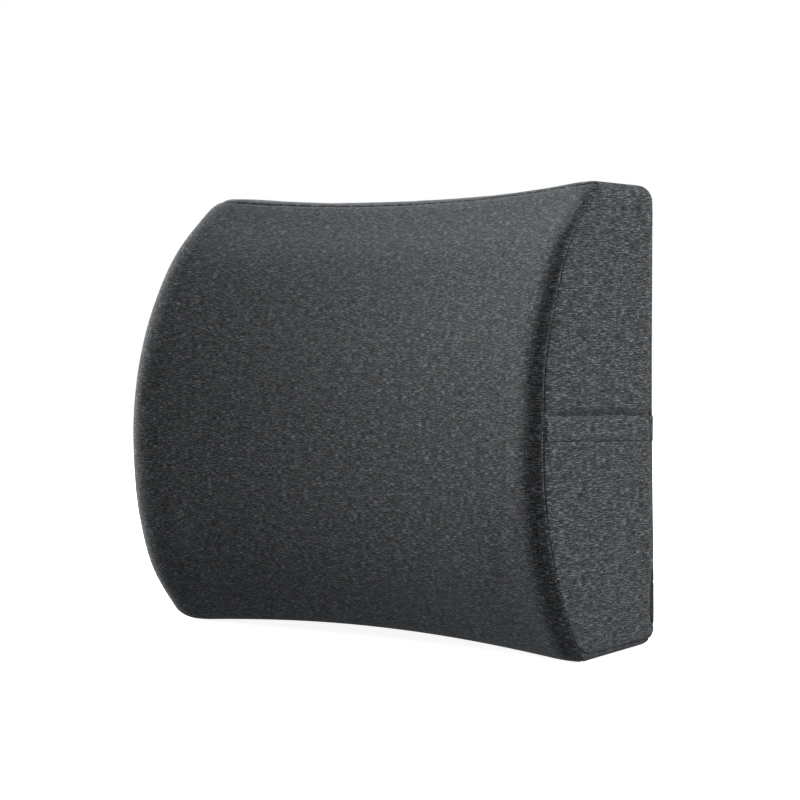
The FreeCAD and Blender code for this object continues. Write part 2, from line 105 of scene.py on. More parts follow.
# ---- cloth ----------------------------------------------------------------------------
CLOTH_T = 1.1
SEAM_SINK = 0.5           # a panel's edge lies this far under its surface
SEAM_TUCK = 1.6           # and turns in by this much more
SEAM_GAP = 0.13           # half the gap between two panels' edges
FRONT_GRAIN = (1.12, 1.05)  # the cloth's streaks are shorter on the front
SIDE_GRAIN = (0.68, 0.85)  # and longer on the sides
BACK_CREASE = 0.9         # the back panels' edges are sharper than the rest's
LINER_SKIN = 4.4          # the liner lies this far inside the form
LINER_T = 0.8
CORE_SKIN = 5.6           # and the core this far
BAND_T = 1.0
BAND_LIFT = 1.15          # the side band's face stands this far off the side
BAND_END_LIFT = 0.3       # and by this where it goes round the back's edge
BAND_HALF = (8.8, 8.3)    # half its width at the back and at the front
BAND_Z = 151.4            # middle of the strap, and of the band at the back
BAND_SLOPE = 0.034        # the band climbs towards the front
BAND_PRESS = 1.2          # it is sewn down this far into the side
BAND_TILT = 1.8           # and this much further at its upper edge
BAND_CREASE_REACH = 4.5   # above it the side rolls down into the seam over this distance
BAND_LINES = ((-1, 1.9), (-0.92, 1.0), (-0.82, 0.2), (-0.6, 0), (-0.3, 0), (0, 0), (0.3, 0),
              (0.6, 0), (0.82, 0), (0.92, 0.1), (1, 0.5))   # across it, and how far its face drops
BAND_GROOVE = 1.3         # its two seams draw the side in by this much more
BAND_GROOVE_REACH = 1.5   # within this distance of them
BAND_FOOT = (-1.0, 2.0)   # the press starts between these distances above its lower edge
BAND_HELD = ((0.0, 0.12), (1.0, 0.93))   # it fades at the back and at the front seam
BAND_END_RUN = (2.0, 16.0)   # distances from the back between which the band rises
BAND_ROOT = 0.5           # its ends go this far into the side
RAY_START = 6.0           # the side's surface is looked for from this far outside it
RAY_REACH = 20.0
BAND_ROWS = (144.0, 176.0)   # the form's rows are close together between these heights
BAND_SINK = 0.6           # its own edges lie this far under its face
BAND_TUCK = 0.3           # and turn in by this much more

# ---- how the stuffing fills the cloth -----------------------------------------------------
PRESSURE = 4.0
SIM_FRAMES = 20
CROWN_START = 1.5         # between seams the cloth starts this far inside the form
CROWN_CAP = 2.4           # and may be pushed out by this much
CROWN_REACH = 16.0        # a seam holds the cloth in over about this distance
CROWN_SMOOTHING = 3

# ---- zip, strap and buckle ------------------------------------------------------------
ZIP_Z = 46.0
ZIP_HALF = 150.0          # half the length of its slot and of its tapes
SLOT_HALF = 6.0           # half the width of its slot
SLOT_CLOSE = 3.0          # the slot narrows to nothing this far either side of its ends
SEWN_Y = 0.1              # stitches lie on the back's cloth
SEWN_ROW = 2.6            # and run this far outside the slot
TAPE_Z = (0.75, 12.6)     # from the zip's middle line to a tape's near and far edges
TAPE_Y = (-2.02, -1.48)   # its inner and outer faces
TAPE_RELIEF = 0.12        # depth of its woven ribs
TAPE_RIB_TURN = 1.3       # radians of their wave from one line of points to the next
COIL_HALF = 144.0         # half the length of the teeth
COIL_WOUND = 143.4        # half the length of the winding
COIL_PITCH = 2.0
COIL_STEPS = 12           # points in each turn
COIL_MIDDLE = 1.75        # from the zip's middle line to the middle of a coil
COIL_REACH = 0.85         # radius of its turns, along the tape
COIL_RISE = 0.58          # and out from it
COIL_WIRE = 0.4           # radius of its thread
COIL_CORD = 0.34          # and of the cord in it
COIL_Y = -0.4
STOP_GAP = 0.55           # half the gap between the two top stops
STOP_ROUND = 0.45         # radius of the stops' edges
STOP_RIDGE = (0.35, 0.18, 0.15)   # half width, height and edge radius of their crimped ridges
STOP_RIDGE_IN = 0.9       # and from a stop's end to the middle of one
STITCH = (3.0, 0.9, 0.28)   # length of a stitch, the gap to the next, and the thread's radius
BOX_STITCH = (2.2, 0.6, 0.24)
TACK_STITCH = (2.2, 0.5, 0.26)
STRAP_T = 1.4
STRAP_W = 18.0
STRAP_HALF = 8.85         # half its width, less the slack in the buckle
STRAP_PLACES = (-1, -0.97, -0.86, -0.75, -0.5, -0.25, 0, 0.25, 0.5, 0.75, 0.86, 0.97, 1)
STRAP_UV_APART = 40       # its faces lie this far either side of the middle on the cloth
RIB_PITCH = 1.8           # of its cross ribs
RIB_RELIEF = 0.06
STRAP_OFF = 2.2           # the strap lies this far off the back
STRAP_STEP = 0.45         # distance between the points along it
# Its sewn end as (x, y): out of the back's edge, and folded over.
SEWN_END = ((166.6, 0.4), (168.7, 1.2), (170.9, 1.9), (171.6, 2.9), (170.2, 3.9), (166.0, 3.5))
FOLD_RUN = 14.0           # a folded-back end comes down onto the strap over this length
TAIL_Y = STRAP_OFF + STRAP_T + 0.1
BAR_Y = STRAP_OFF + 1.75 + STRAP_T      # middle plane of the buckle
SOCKET_BAR_X = -32.0      # middles of the buckle's bars
PLUG_BAR_X = 23.0
GRIP_BAR_X = 30.0
LEFT_END = -54.0          # where the strap's two ends stop
TAIL_END = 98.0
TACK_X = (163.0, 165.2, 167.4)   # rows of stitches where the strap is sewn to the back
TACK_Y = 4.35
KEEPER_T = 1.0
KEEPER_CORNER = 1.3       # radius of its corners
KEEPER_STEP = 0.6         # distance between the points round it
KEEPER_RELIEF = 0.05      # depth of its ribs
KEEPER_PLACES = (0, 0.04, 0.12, 0.25, 0.375, 0.5, 0.625, 0.75, 0.88, 0.96, 1)   # across it
KEEPER_UV_APART = 20      # its faces lie this far either side of the middle on the cloth


def world(point):
    """Millimetres from the middle of the back face's foot, to the frame's metres."""
    return Vector((point[0] * MM, BACK_Y + point[1] * MM, point[2] * MM))


def local(point):
    """The frame's metres, to millimetres from the middle of the back face's foot."""
    return Vector((point[0] / MM, (point[1] - BACK_Y) / MM, point[2] / MM))


# ---- small helpers --------------------------------------------------------------------
def smooth(values, t):
    """Height of a smooth curve through evenly spaced values, at t from 0 to 1."""
    last = len(values) - 1
    place = min(max(t, 0.0), 1.0) * last
    i = min(int(place), last - 1)
    f = place - i
    a, b = values[i], values[i + 1]
    before = values[i - 1] if i > 0 else 2 * a - b
    after = values[i + 2] if i + 2 <= last else 2 * b - a
    slope_a = (b - before) / 2
    slope_b = (after - a) / 2
    return (a * (1 + 2 * f) * (1 - f) ** 2 + b * f * f * (3 - 2 * f)
            + slope_a * f * (1 - f) ** 2 - slope_b * f * f * (1 - f))


def ease(x, start, end):
    """0 before start, 1 after end, and a smooth step between."""
    f = min(max((x - start) / (end - start), 0.0), 1.0)
    return f * f * (3 - 2 * f)


def mix(a, b, f):
    """From a at f = 0 to b at f = 1."""
    return a + (b - a) * f


# ---- the form's grid ------------------------------------------------------------------
CORNER_STEPS = 7          # rows in the bottom corners' rounds
SEAM_STEPS = 3            # rows from there to the bottom panel's seam
LOW_STEPS = (6, 5, 1)     # rows just above the seam, on towards the zip, and next to it
LOW_STOP = 27.0           # height where the first of these end
ZIP_ROW = 0.8             # from the zip's middle line to the rows next to it
HIGH_STEPS = (1, 19, 30, 25)  # rows next to the zip, up to the band, beside it, and on up
TOP_STEPS = 10            # rows in the top corners' rounds
LIP_STEPS = 4             # the top one or more of them, which belong to the top panel
EDGE_STEPS = 8            # columns in each side edge's round
COLUMN_STEPS = 60


def form_rows():
    """Rows going up: height, corner cut and lip.  There is a row at each seam's height."""
    low_angles = [math.pi / 2 * i / CORNER_STEPS for i in range(CORNER_STEPS + 1)]
    high_angles = [math.pi / 2 * (1 - i / TOP_STEPS) for i in range(TOP_STEPS + 1)]
    rows = [(CORNER_BOTTOM * (1 - math.cos(a)), CORNER_BOTTOM * (1 - math.sin(a)),
             LIP_BOTTOM * (1 - math.sin(a))) for a in low_angles]
    stops = (CORNER_BOTTOM, SIDE_SEAM_FRONT, LOW_STOP, ZIP_Z - ZIP_ROW, ZIP_Z, ZIP_Z + ZIP_ROW,
             *BAND_ROWS, HEIGHT - CORNER_TOP)
    for start, end, steps in zip(stops, stops[1:], (SEAM_STEPS, *LOW_STEPS, *HIGH_STEPS)):
        rows += [(mix(start, end, (i + 1) / steps), 0.0, 0.0) for i in range(steps)]
    rows += [(HEIGHT - CORNER_TOP * (1 - math.cos(a)), CORNER_TOP * (1 - math.sin(a)),
              LIP_TOP * (1 - math.sin(a))) for a in high_angles[1:]]
    return rows


def form_columns(steps):
    """Columns going right: place between the edges' rounds, and how far round an edge."""
    rounds = [1 - (1 - i / EDGE_STEPS) ** 1.4 for i in range(1, EDGE_STEPS + 1)]
    middle = [(2 * i / steps - 1, 0.0) for i in range(steps + 1)]
    return [(-1.0, -f) for f in reversed(rounds)] + middle + [(1.0, f) for f in rounds]


def round_walk(start_angle, f):
    """Sideways and backwards along an edge's round of length 1, to the fraction f of it."""
    steps = 16
    across = back = 0.0
    for i in range(steps):
        place = f * (i + 0.5) / steps
        angle = start_angle + (EDGE_TURN - start_angle) * place ** EDGE_BEND
        across += math.cos(angle) * f / steps
        back += math.sin(angle) * f / steps
    return across, back


def corner_cut(away, radius):
    """How much a corner's round takes off the width, away from the corner's end."""
    return radius - math.sqrt(radius ** 2 - max(radius - away, 0.0) ** 2)


def side_point(row, skin=0.0):
    """Half width at the back and at the front, and the true height, of a row."""
    row_z, cut, _ = row
    low = skin if skin > 0 else -FOOT
    z = low + (HEIGHT - skin - low) * row_z / HEIGHT
    straight = WIDTH / 2 - skin
    back_cut = max(cut, corner_cut(row_z, CORNERS_BACK[0]),
                   corner_cut(HEIGHT - row_z, CORNERS_BACK[1]))
    half = straight - back_cut + smooth(BACK_FLARES, row_z / HEIGHT)
    return half, straight - cut + smooth(SIDE_FLARES, row_z / HEIGHT), z


def lift_at(x, front_half, z):
    """How far the bottom's arch and the top's dip move a point of the front up."""
    t = min(max(z / HEIGHT, 0.0), 1.0)
    return (1 - (x / front_half) ** 2) * (BOTTOM_ARCH * (1 - t) ** 2 - TOP_DIP * t * t)


def front_point(row, column, skin=0.0, to_seam=0.0):
    """A point of the front.  to_seam takes it back from the front's edge to the seam."""
    _, front_half, z = side_point(row, skin)
    u, f = column
    t = min(max(z / HEIGHT, 0.0), 1.0)
    run, hollow = smooth(EDGE_RUNS, t), smooth(HOLLOWS, t)
    slope = -math.atan(2 * hollow / (front_half - run))
    reach, fall = [run * value for value in round_walk(slope, 1.0)]
    across, rounded = [run * value for value in round_walk(slope, abs(f))]
    x = u * (front_half - reach) + math.copysign(across, f)
    depth = smooth(SIDE_DEPTHS, t) + fall - hollow * (1 - u * u) - row[2]
    seam = SEAM_BACK + (fall - SEAM_BACK) * u ** 4
    y = skin - depth + mix(rounded, seam, to_seam)
    return Vector((x, y, max(z + lift_at(x, front_half, z), 0.0)))


ROWS = form_rows()
COLUMNS = form_columns(COLUMN_STEPS)
ROW_SEAM = CORNER_STEPS + SEAM_STEPS
ROW_ZIP = ROW_SEAM + sum(LOW_STEPS)
TOP_ROW = len(ROWS) - 1
ROW_LIP = TOP_ROW - LIP_STEPS
LAST_COLUMN = len(COLUMNS) - 1


def edge_walk():
    """Round the front's edge from the left end of the foot and back, as (row, column)."""
    loop = [(0, j) for j in range(LAST_COLUMN + 1)]
    loop += [(i, LAST_COLUMN) for i in range(1, TOP_ROW + 1)]
    loop += [(TOP_ROW, j) for j in range(LAST_COLUMN - 1, -1, -1)]
    loop += [(i, 0) for i in range(TOP_ROW - 1, 0, -1)]
    return loop


WALK = edge_walk()
PLACE = {spot: k for k, spot in enumerate(WALK)}


def stretch(start, end):
    """Places of the walk from one (row, column) to another."""
    a, b = PLACE[start], PLACE[end]
    if b < a:
        b += len(WALK)
    return [k % len(WALK) for k in range(a, b + 1)]


def back_edge(corner, inward, s):
    """A point at s along the rounded back edge: above 0 on the side, below 0 on the back."""
    quarter = math.pi / 2 * BACK_EDGE_R
    angle = min(max((s + quarter / 2) / BACK_EDGE_R, 0.0), math.pi / 2)
    past_side = max(s - quarter / 2, 0.0)
    past_back = max(-s - quarter / 2, 0.0)
    sideways = BACK_EDGE_R * (1 - math.sin(angle)) + past_back
    forwards = BACK_EDGE_R * (1 - math.cos(angle)) + past_side
    return corner + inward * sideways - Vector((0, forwards, 0))


def back_seam_place(z, on_side):
    """Where the seam between a gusset and the back runs on the back's edge."""
    wrap = ease(z, *WRAP_START) * (1 - ease(z, *WRAP_END)) if on_side else 0.0
    return mix(BACK_SEAM, BACK_SEAM_WRAP, wrap)


def low_row(z):
    """The row at a height below the top corners' rounds."""
    angle = math.acos(1 - min(z / CORNER_BOTTOM, 1.0))
    return z, CORNER_BOTTOM * (1 - math.sin(angle)), LIP_BOTTOM * (1 - math.sin(angle))


def height_behind(z):
    """Height on the sides, past the seam's curl, of a row at height z on the front seam."""
    if z < SIDE_SEAM_FRONT:
        return z * SIDE_SEAM_Z / SIDE_SEAM_FRONT
    return z + min(z - ZIP_Z, 0.0) * (SIDE_SEAM_FRONT - SIDE_SEAM_Z) / (ZIP_Z - SIDE_SEAM_FRONT)


def curled_point(z, column, skin, place, width):
    """A point on a side's low part, on the line that leaves the front seam at height z."""
    come_down = math.sqrt(1 - (1 - min(place / SEAM_CURL, 1.0)) ** 2)
    row = low_row(mix(z, height_behind(z), come_down))
    start = front_point(row, column, skin, 1.0)
    corner = Vector((math.copysign(side_point(row, skin)[0], column[0]), -skin, start.z))
    return start.lerp(corner, place / width)


def gusset_line(start, corner, inward, end_s, curl=None):
    """From the front seam to the back seam, across a side, the top or the bottom."""
    width = (corner - start).length
    places = [*GUSSET_START]
    places += [mix(GUSSET_START[-1], width - GUSSET_REST, (i + 1) / GUSSET_STEPS)
               for i in range(GUSSET_STEPS)]
    if curl:
        points = [curled_point(*curl, place, width) for place in places]
    else:
        points = [start.lerp(corner, place / width) for place in places]
    return points + [back_edge(corner, inward, mix(GUSSET_END, end_s, (i + 1) / GUSSET_END_STEPS))
                     for i in range(GUSSET_END_STEPS)]


def coons(low, high, left, right):
    """A grid of rows that fills the space between four curves that meet at their ends."""
    rows, columns = len(left), len(low)
    grid = []
    for a in range(rows):
        v = a / (rows - 1)
        line = []
        for b in range(columns):
            u = b / (columns - 1)
            upright = low[b].lerp(high[b], v)
            level = left[a].lerp(right[a], u)
            flat = low[0].lerp(low[-1], u).lerp(high[0].lerp(high[-1], u), v)
            line.append(upright + level - flat)
        grid.append(line)
    return grid


class Form:
    """The cushion's form drawn in by skin all round."""

    def __init__(self, skin=0.0):
        self.skin = skin
        self.seam = [front_point(ROWS[i], COLUMNS[j], skin, 1.0) for i, j in WALK]
        self.corners = []
        curls = []
        for (i, j), point in zip(WALK, self.seam):
            low = 0 < i < ROW_ZIP
            curls.append((ROWS[i][0], COLUMNS[j], skin) if low else None)
            row = low_row(height_behind(ROWS[i][0])) if low else ROWS[i]
            half, front_half, z = side_point(row, skin)
            x = math.copysign(half, point.x) if low else point.x * half / front_half
            self.corners.append(Vector((x, -skin, z if low else point.z)))
        count = len(WALK)
        self.inward = []
        for k in range(count):
            along = self.corners[(k + 1) % count] - self.corners[k - 1]
            self.inward.append(Vector((-along.z, 0, along.x)).normalized())
        self.ends = [back_seam_place(corner.z, j in (0, LAST_COLUMN))
                     for (i, j), corner in zip(WALK, self.corners)]
        self.gusset = [gusset_line(*line) for line in
                       zip(self.seam, self.corners, self.inward, self.ends, curls)]

    def front_lines(self, places):
        """Lines across the front; places holds (row, how far back to the seam)."""
        return [[front_point(ROWS[i], column, self.skin, f) for column in COLUMNS]
                for i, f in places]

    def front(self):
        """The front, with the strip that turns under its foot to the seam."""
        return self.front_lines([(0, 1.0), (0, 0.5)] + [(i, 0.0) for i in range(ROW_LIP + 1)])

    def lip(self):
        """The strip of the top panel that comes over the front's top edge."""
        return self.front_lines([(i, 0.0) for i in range(ROW_LIP, TOP_ROW + 1)]
                                + [(TOP_ROW, 0.5), (TOP_ROW, 1.0)])

    def back_rings(self, k):
        """From the back seam inwards, on to the flat of the back."""
        s = self.ends[k]
        return [back_edge(self.corners[k], self.inward[k], mix(s, -BACK_RINGS, f))
                for f in RING_PLACES]

    def slot_edge(self, side):
        """The edge of the back's cloth along the zip: at the slot, and past its ends."""
        left = self.back_rings(PLACE[(ROW_ZIP, 0)])[-1]
        right = self.back_rings(PLACE[(ROW_ZIP, LAST_COLUMN)])[-1]
        line = []
        for b in range(LAST_COLUMN + 1):
            x = mix(left.x, right.x, b / LAST_COLUMN)
            f = 1 - ease(abs(x), ZIP_HALF - SLOT_CLOSE, ZIP_HALF + SLOT_CLOSE)
            line.append(Vector((x, -self.skin, left.z + side * SLOT_HALF * f)))
        return line

    def back(self, upper):
        """The back above the zip, or below it: its middle, and the rings round its outline."""
        right_end, left_end = (ROW_ZIP, LAST_COLUMN), (ROW_ZIP, 0)
        if upper:
            parts = [stretch(right_end, (TOP_ROW, LAST_COLUMN)),
                     stretch((TOP_ROW, LAST_COLUMN), (TOP_ROW, 0)),
                     stretch((TOP_ROW, 0), left_end)]
        else:
            parts = [stretch(left_end, (0, 0)), stretch((0, 0), (0, LAST_COLUMN)),
                     stretch((0, LAST_COLUMN), right_end)]
        walk = parts[0] + parts[1][1:] + parts[2][1:]
        rings = [self.back_rings(k) for k in walk]
        inner = [[self.back_rings(k)[-1] for k in part] for part in parts]
        if upper:
            middle = coons(self.slot_edge(1), inner[1][::-1], inner[2][::-1], inner[0])
        else:
            middle = coons(inner[1], self.slot_edge(-1), inner[0][::-1], inner[2])
        around = [[(p.x - math.copysign(p.y, p.x), p.z) for p in line] for line in rings]
        flat = [[(p.x, p.z) for p in line] for line in middle]
        return [(middle, flat, True), (rings, around, False)]

    def sheets(self):
        """Every sheet of the outside, by the panel it belongs to."""
        right = stretch((ROW_SEAM, LAST_COLUMN), (TOP_ROW, LAST_COLUMN))
        left = stretch((TOP_ROW, 0), (ROW_SEAM, 0))
        top = stretch((TOP_ROW, LAST_COLUMN), (TOP_ROW, 0))
        low = stretch((ROW_SEAM, 0), (ROW_SEAM, LAST_COLUMN))
        gusset = self.gusset
        return {
            "front_panel": [sheet(self.front(), grain=FRONT_GRAIN)],
            "side_panel_right": [sheet([gusset[k] for k in right], shift=(400, 100),
                                       grain=SIDE_GRAIN)],
            "side_panel_left": [sheet([gusset[k] for k in left], shift=(-400, 700),
                                      grain=SIDE_GRAIN)],
            "top_panel": [sheet([gusset[k] for k in top], turned=True, shift=(100, 900)),
                          sheet(self.lip(), shift=(100, 880))],
            "bottom_panel": [sheet([gusset[k] for k in low], turned=True, shift=(50, -500))],
            "back_panel": self.back(True),
            "back_hem": self.back(False),
        }

    def slot(self):
        """The strip that closes the zip's slot."""
        return [sheet([self.slot_edge(-1), self.slot_edge(1)], flip=True)]


# ---- building cloth meshes ------------------------------------------------------------
def add_grid(bm, uv_layer, points, uvs, flip):
    """A sheet of quads through rows of points, with a place on the cloth for each."""
    verts = [[bm.verts.new(p) for p in line] for line in points]
    for a in range(len(points) - 1):
        for b in range(len(points[0]) - 1):
            ring = [(a, b), (a, b + 1), (a + 1, b + 1), (a + 1, b)]
            if flip:
                ring.reverse()
            face = bm.faces.new([verts[p][q] for p, q in ring])
            face.smooth = True
            for loop, (p, q) in zip(face.loops, ring):
                loop[uv_layer].uv = uvs[p][q]


def joined_sheets(sheets):
    """Sheets joined where they meet, as one mesh in millimetres."""
    bm = bmesh.new()
    uv_layer = bm.loops.layers.uv.new("cloth")
    for points, uvs, flip in sheets:
        add_grid(bm, uv_layer, points, uvs, flip)
    bmesh.ops.remove_doubles(bm, verts=bm.verts, dist=0.05)
    bmesh.ops.dissolve_degenerate(bm, edges=bm.edges, dist=0.01)
    bm.normal_update()
    return bm


def placed(name, data):
    """An object that holds data, in the scene."""
    obj = bpy.data.objects.new(name, data)
    bpy.context.scene.collection.objects.link(obj)
    return obj


def mesh_object(name, bm):
    mesh = bpy.data.meshes.new(name)
    bm.to_mesh(mesh)
    bm.free()
    return placed(name, mesh)


def apply_modifiers(obj):
    """The object's mesh as its modifiers leave it."""
    bpy.context.view_layer.update()
    graph = bpy.context.evaluated_depsgraph_get()
    mesh = bpy.data.meshes.new_from_object(obj.evaluated_get(graph))
    obj.modifiers.clear()
    old = obj.data
    obj.data = mesh
    bpy.data.meshes.remove(old)
    mesh.name = obj.name
    for polygon in mesh.polygons:
        polygon.use_smooth = True


def thickened(obj, thickness, levels=1):
    """The object with its cloth's thickness, if any, put on inwards, and smoothed."""
    if thickness:
        shell = obj.modifiers.new("Thickness", "SOLIDIFY")
        shell.thickness = thickness * MM
        shell.offset = -1
    smoother = obj.modifiers.new("Subdivision", "SUBSURF")
    smoother.levels = levels
    smoother.render_levels = levels
    apply_modifiers(obj)
    return obj


def to_frame(name, bm):
    """An object from a mesh in millimetres."""
    for v in bm.verts:
        v.co = world(v.co)
    return mesh_object(name, bm)


def sewn_panel(name, sheets, levels=1, thickness=CLOTH_T, tuck=SEAM_TUCK, sink=SEAM_SINK,
               crease=0.0):
    """A panel of cloth, whose edges round over and turn in at its seams.

    sheets holds (points, uvs, flip) in millimetres, and crease near 1 makes a sharper edge.
    """
    bm = joined_sheets(sheets)
    creases = bm.edges.layers.float.new("crease_edge")
    uv_layer = bm.loops.layers.uv["cloth"]
    rim = [edge for edge in bm.edges if edge.is_boundary]
    rim_verts = list(dict.fromkeys(v for edge in rim for v in edge.verts))
    normals = {v: v.normal.copy() for v in rim_verts}
    moves = {}
    place = {}
    for v in rim_verts:
        inside = Vector()
        for edge in v.link_edges:
            if not edge.is_boundary:
                inside += (edge.other_vert(v).co - v.co).normalized()
        inside -= normals[v] * inside.dot(normals[v])
        if inside.length > 0:
            inside.normalize()
        moves[v] = inside * SEAM_GAP - normals[v] * sink
        place[v] = v.link_loops[0][uv_layer].uv.copy()
    for v, move in moves.items():
        v.co += move
    turned = {v: bm.verts.new(v.co - normals[v] * tuck) for v in rim_verts}
    for edge in rim:
        edge[creases] = crease
        loop = edge.link_loops[0]
        a, b = loop.vert, loop.link_loop_next.vert
        face = bm.faces.new((b, a, turned[a], turned[b]))
        face.smooth = True
        for corner, v in zip(face.loops, (b, a, a, b)):
            corner[uv_layer].uv = place[v]
    return thickened(to_frame(name, bm), thickness, levels)


def path_lengths(points):
    """Distance along a line to each of its points."""
    lengths = [0.0]
    for a, b in zip(points, points[1:]):
        lengths.append(lengths[-1] + (b - a).length)
    return lengths


def cloth_uvs(points, turned=False):
    """Places on the cloth in millimetres: along each line of points, and from line to line."""
    middle = len(points[0]) // 2
    across = path_lengths([line[middle] for line in points])
    uvs = []
    for a, line in enumerate(points):
        along = path_lengths(line)
        centre = along[middle]
        if turned:
            uvs.append([(across[a], s - centre) for s in along])
        else:
            uvs.append([(s - centre, across[a]) for s in along])
    return uvs


def sheet(points, flip=False, turned=False, shift=(0.0, 0.0), grain=(1.0, 1.0)):
    """A sheet with its places on the cloth; below 1, grain makes the cloth's grain coarser."""
    uvs = [[(u * grain[0] + shift[0], v * grain[1] + shift[1]) for u, v in line]
           for line in cloth_uvs(points, turned)]
    return points, uvs, flip


# ---- the cloth pushed out by its stuffing ------------------------------------------------
def point_tree(points):
    tree = KDTree(len(points))
    for i, point in enumerate(points):
        tree.insert(point, i)
    tree.balance()
    return tree


def seam_points(panels):
    """Points close together along every seam, that is, along every panel's outline."""
    points = []
    for sheets in panels.values():
        bm = joined_sheets(sheets)
        for edge in bm.edges:
            if edge.is_boundary:
                a, b = edge.verts[0].co, edge.verts[1].co
                points += [a.lerp(b, i / 4) for i in range(5)]
        bm.free()
    return points


def blown_up(start, faces, pinned):
    """Where Blender's cloth goes from start, under pressure, with its seams held."""
    mesh = bpy.data.meshes.new("stuffing")
    mesh.from_pydata([world(point) for point in start], [], faces)
    obj = placed("stuffing", mesh)
    held = obj.vertex_groups.new(name="seams")
    held.add(pinned, 1.0, "REPLACE")
    cloth = obj.modifiers.new("Cloth", "CLOTH")
    settings = cloth.settings
    settings.quality = 5
    settings.mass = 0.3
    settings.tension_stiffness = 15
    settings.compression_stiffness = 15
    settings.shear_stiffness = 5
    settings.bending_stiffness = 0.5
    settings.use_pressure = True
    settings.uniform_pressure_force = PRESSURE
    settings.vertex_group_mass = "seams"
    settings.effector_weights.gravity = 0
    cloth.collision_settings.use_collision = False
    scene = bpy.context.scene
    for number in range(1, SIM_FRAMES + 1):
        scene.frame_set(number)
    graph = bpy.context.evaluated_depsgraph_get()
    moved = obj.evaluated_get(graph).data
    result = [local(v.co) for v in moved.vertices]
    scene.frame_set(1)
    bpy.data.objects.remove(obj)
    bpy.data.meshes.remove(mesh)
    return result


def crown(form, panels):
    """Move every panel's points to where the stuffing pushes the cloth between its seams."""
    everything = [one for sheets in panels.values() for one in sheets] + form.slot()
    bm = joined_sheets(everything)
    bm.verts.ensure_lookup_table()
    rest = [v.co.copy() for v in bm.verts]
    normals = [v.normal.copy() for v in bm.verts]
    faces = [[v.index for v in face.verts] for face in bm.faces]
    beside = [[edge.other_vert(v).index for edge in v.link_edges] for v in bm.verts]
    bm.free()
    seams = point_tree(seam_points(panels))
    away = [seams.find(point)[2] for point in rest]
    free = [1 - math.exp(-(distance / CROWN_REACH) ** 2) for distance in away]
    start = [p - n * CROWN_START * f for p, n, f in zip(rest, normals, free)]
    pinned = [i for i, distance in enumerate(away) if distance < 0.5]
    moved = blown_up(start, faces, pinned)
    push = [CROWN_CAP * math.tanh(max((there - here).dot(n), 0.0) / CROWN_CAP)
            for there, here, n in zip(moved, start, normals)]
    for _ in range(CROWN_SMOOTHING):
        push = [0.5 * push[i] + 0.5 * sum(push[k] for k in beside[i]) / len(beside[i])
                if away[i] > 0.5 else push[i] for i in range(len(push))]
    offset = [d - CROWN_START * f for d, f in zip(push, free)]
    tree = point_tree(rest)
    for sheets in panels.values():
        for points, _, _ in sheets:
            for line in points:
                for b, point in enumerate(line):
                    _, i, distance = tree.find(point)
                    if distance < 0.1:
                        line[b] = point + normals[i] * offset[i]
                        line[b].z = max(line[b].z, 0.0)


# ---- materials ------------------------------------------------------------------------
def node(tree, kind, inputs=None, **settings):
    """A shader node, with each input either a value or the socket that feeds it."""
    made = tree.nodes.new("ShaderNode" + kind)
    for key, value in settings.items():
        setattr(made, key, value)
    for key, value in (inputs or {}).items():
        if isinstance(value, bpy.types.NodeSocket):
            tree.links.new(value, made.inputs[key])
        else:
            made.inputs[key].default_value = value
    return made


def new_material(name, **values):
    """A node material, and its shader with some of its own sockets set."""
    material = bpy.data.materials.new(name)
    material.use_nodes = True
    shader = material.node_tree.nodes["Principled BSDF"]
    for key, value in values.items():
        shader.inputs[key.replace("_", " ")].default_value = value
    return material, material.node_tree, shader


def cloth_place(tree):
    """The place on the cloth in millimetres: X along the yarn, Y across it."""
    return node(tree, "UVMap", uv_map="cloth").outputs[0]


def solid_place(tree):
    """The place in the object in millimetres."""
    place = node(tree, "TexCoord").outputs["Object"]
    return node(tree, "Mapping", {"Vector": place, "Scale": (1 / MM,) * 3}).outputs[0]


def speckle(tree, place, size, shift=0.0, detail=2.0, roughness=0.6):
    """Noise with features of the given size, in millimetres, each way."""
    scale = tuple(1 / value for value in size)
    spot = node(tree, "Mapping", {"Vector": place, "Scale": scale, "Location": (shift,) * 3})
    return node(tree, "TexNoise", {"Vector": spot.outputs[0], "Scale": 1.0, "Detail": detail,
                                   "Roughness": roughness}).outputs[0]


def wave(tree, place, direction, pitch):
    """A cosine wave across the material, from -1 to 1."""
    turn = tuple(value * 2 * math.pi / pitch for value in direction)
    along = node(tree, "VectorMath", {0: place, 1: turn}, operation="DOT_PRODUCT")
    return node(tree, "Math", {0: along.outputs["Value"]}, operation="COSINE").outputs[0]


def weighted(tree, terms):
    """The sum of sockets, each times its weight."""
    total = None
    for socket, weight in terms:
        adding = total if total is not None else 0.0
        total = node(tree, "Math", {0: socket, 1: weight, 2: adding},
                     operation="MULTIPLY_ADD").outputs[0]
    return total


def ramp(tree, factor, stops):
    """Colours by factor; stops holds (place, colour)."""
    made = node(tree, "ValToRGB", {"Fac": factor})
    elements = made.color_ramp.elements
    while len(elements) < len(stops):
        elements.new(0.5)
    for element, (place, colour) in zip(elements, stops):
        element.position = place
        element.color = (*colour, 1)
    return made.outputs["Color"]


def tinted(tree, colour, factor, low, high):
    """Colour times a tint that goes from low to high with factor."""
    tint = ramp(tree, factor, [(0.35, low), (0.65, high)])
    return node(tree, "Mix", {"Factor": 1.0, "A": colour, "B": tint}, data_type="RGBA",
                blend_type="MULTIPLY").outputs["Result"]


def dress(tree, shader, colour, height, relief, strength=1.0):
    """Give a shader its colour, and a relief in millimetres where height goes from 0 to 1."""
    made = node(tree, "Bump", {"Height": height, "Distance": relief * MM, "Strength": strength})
    tree.links.new(colour, shader.inputs["Base Color"])
    tree.links.new(made.outputs[0], shader.inputs["Normal"])


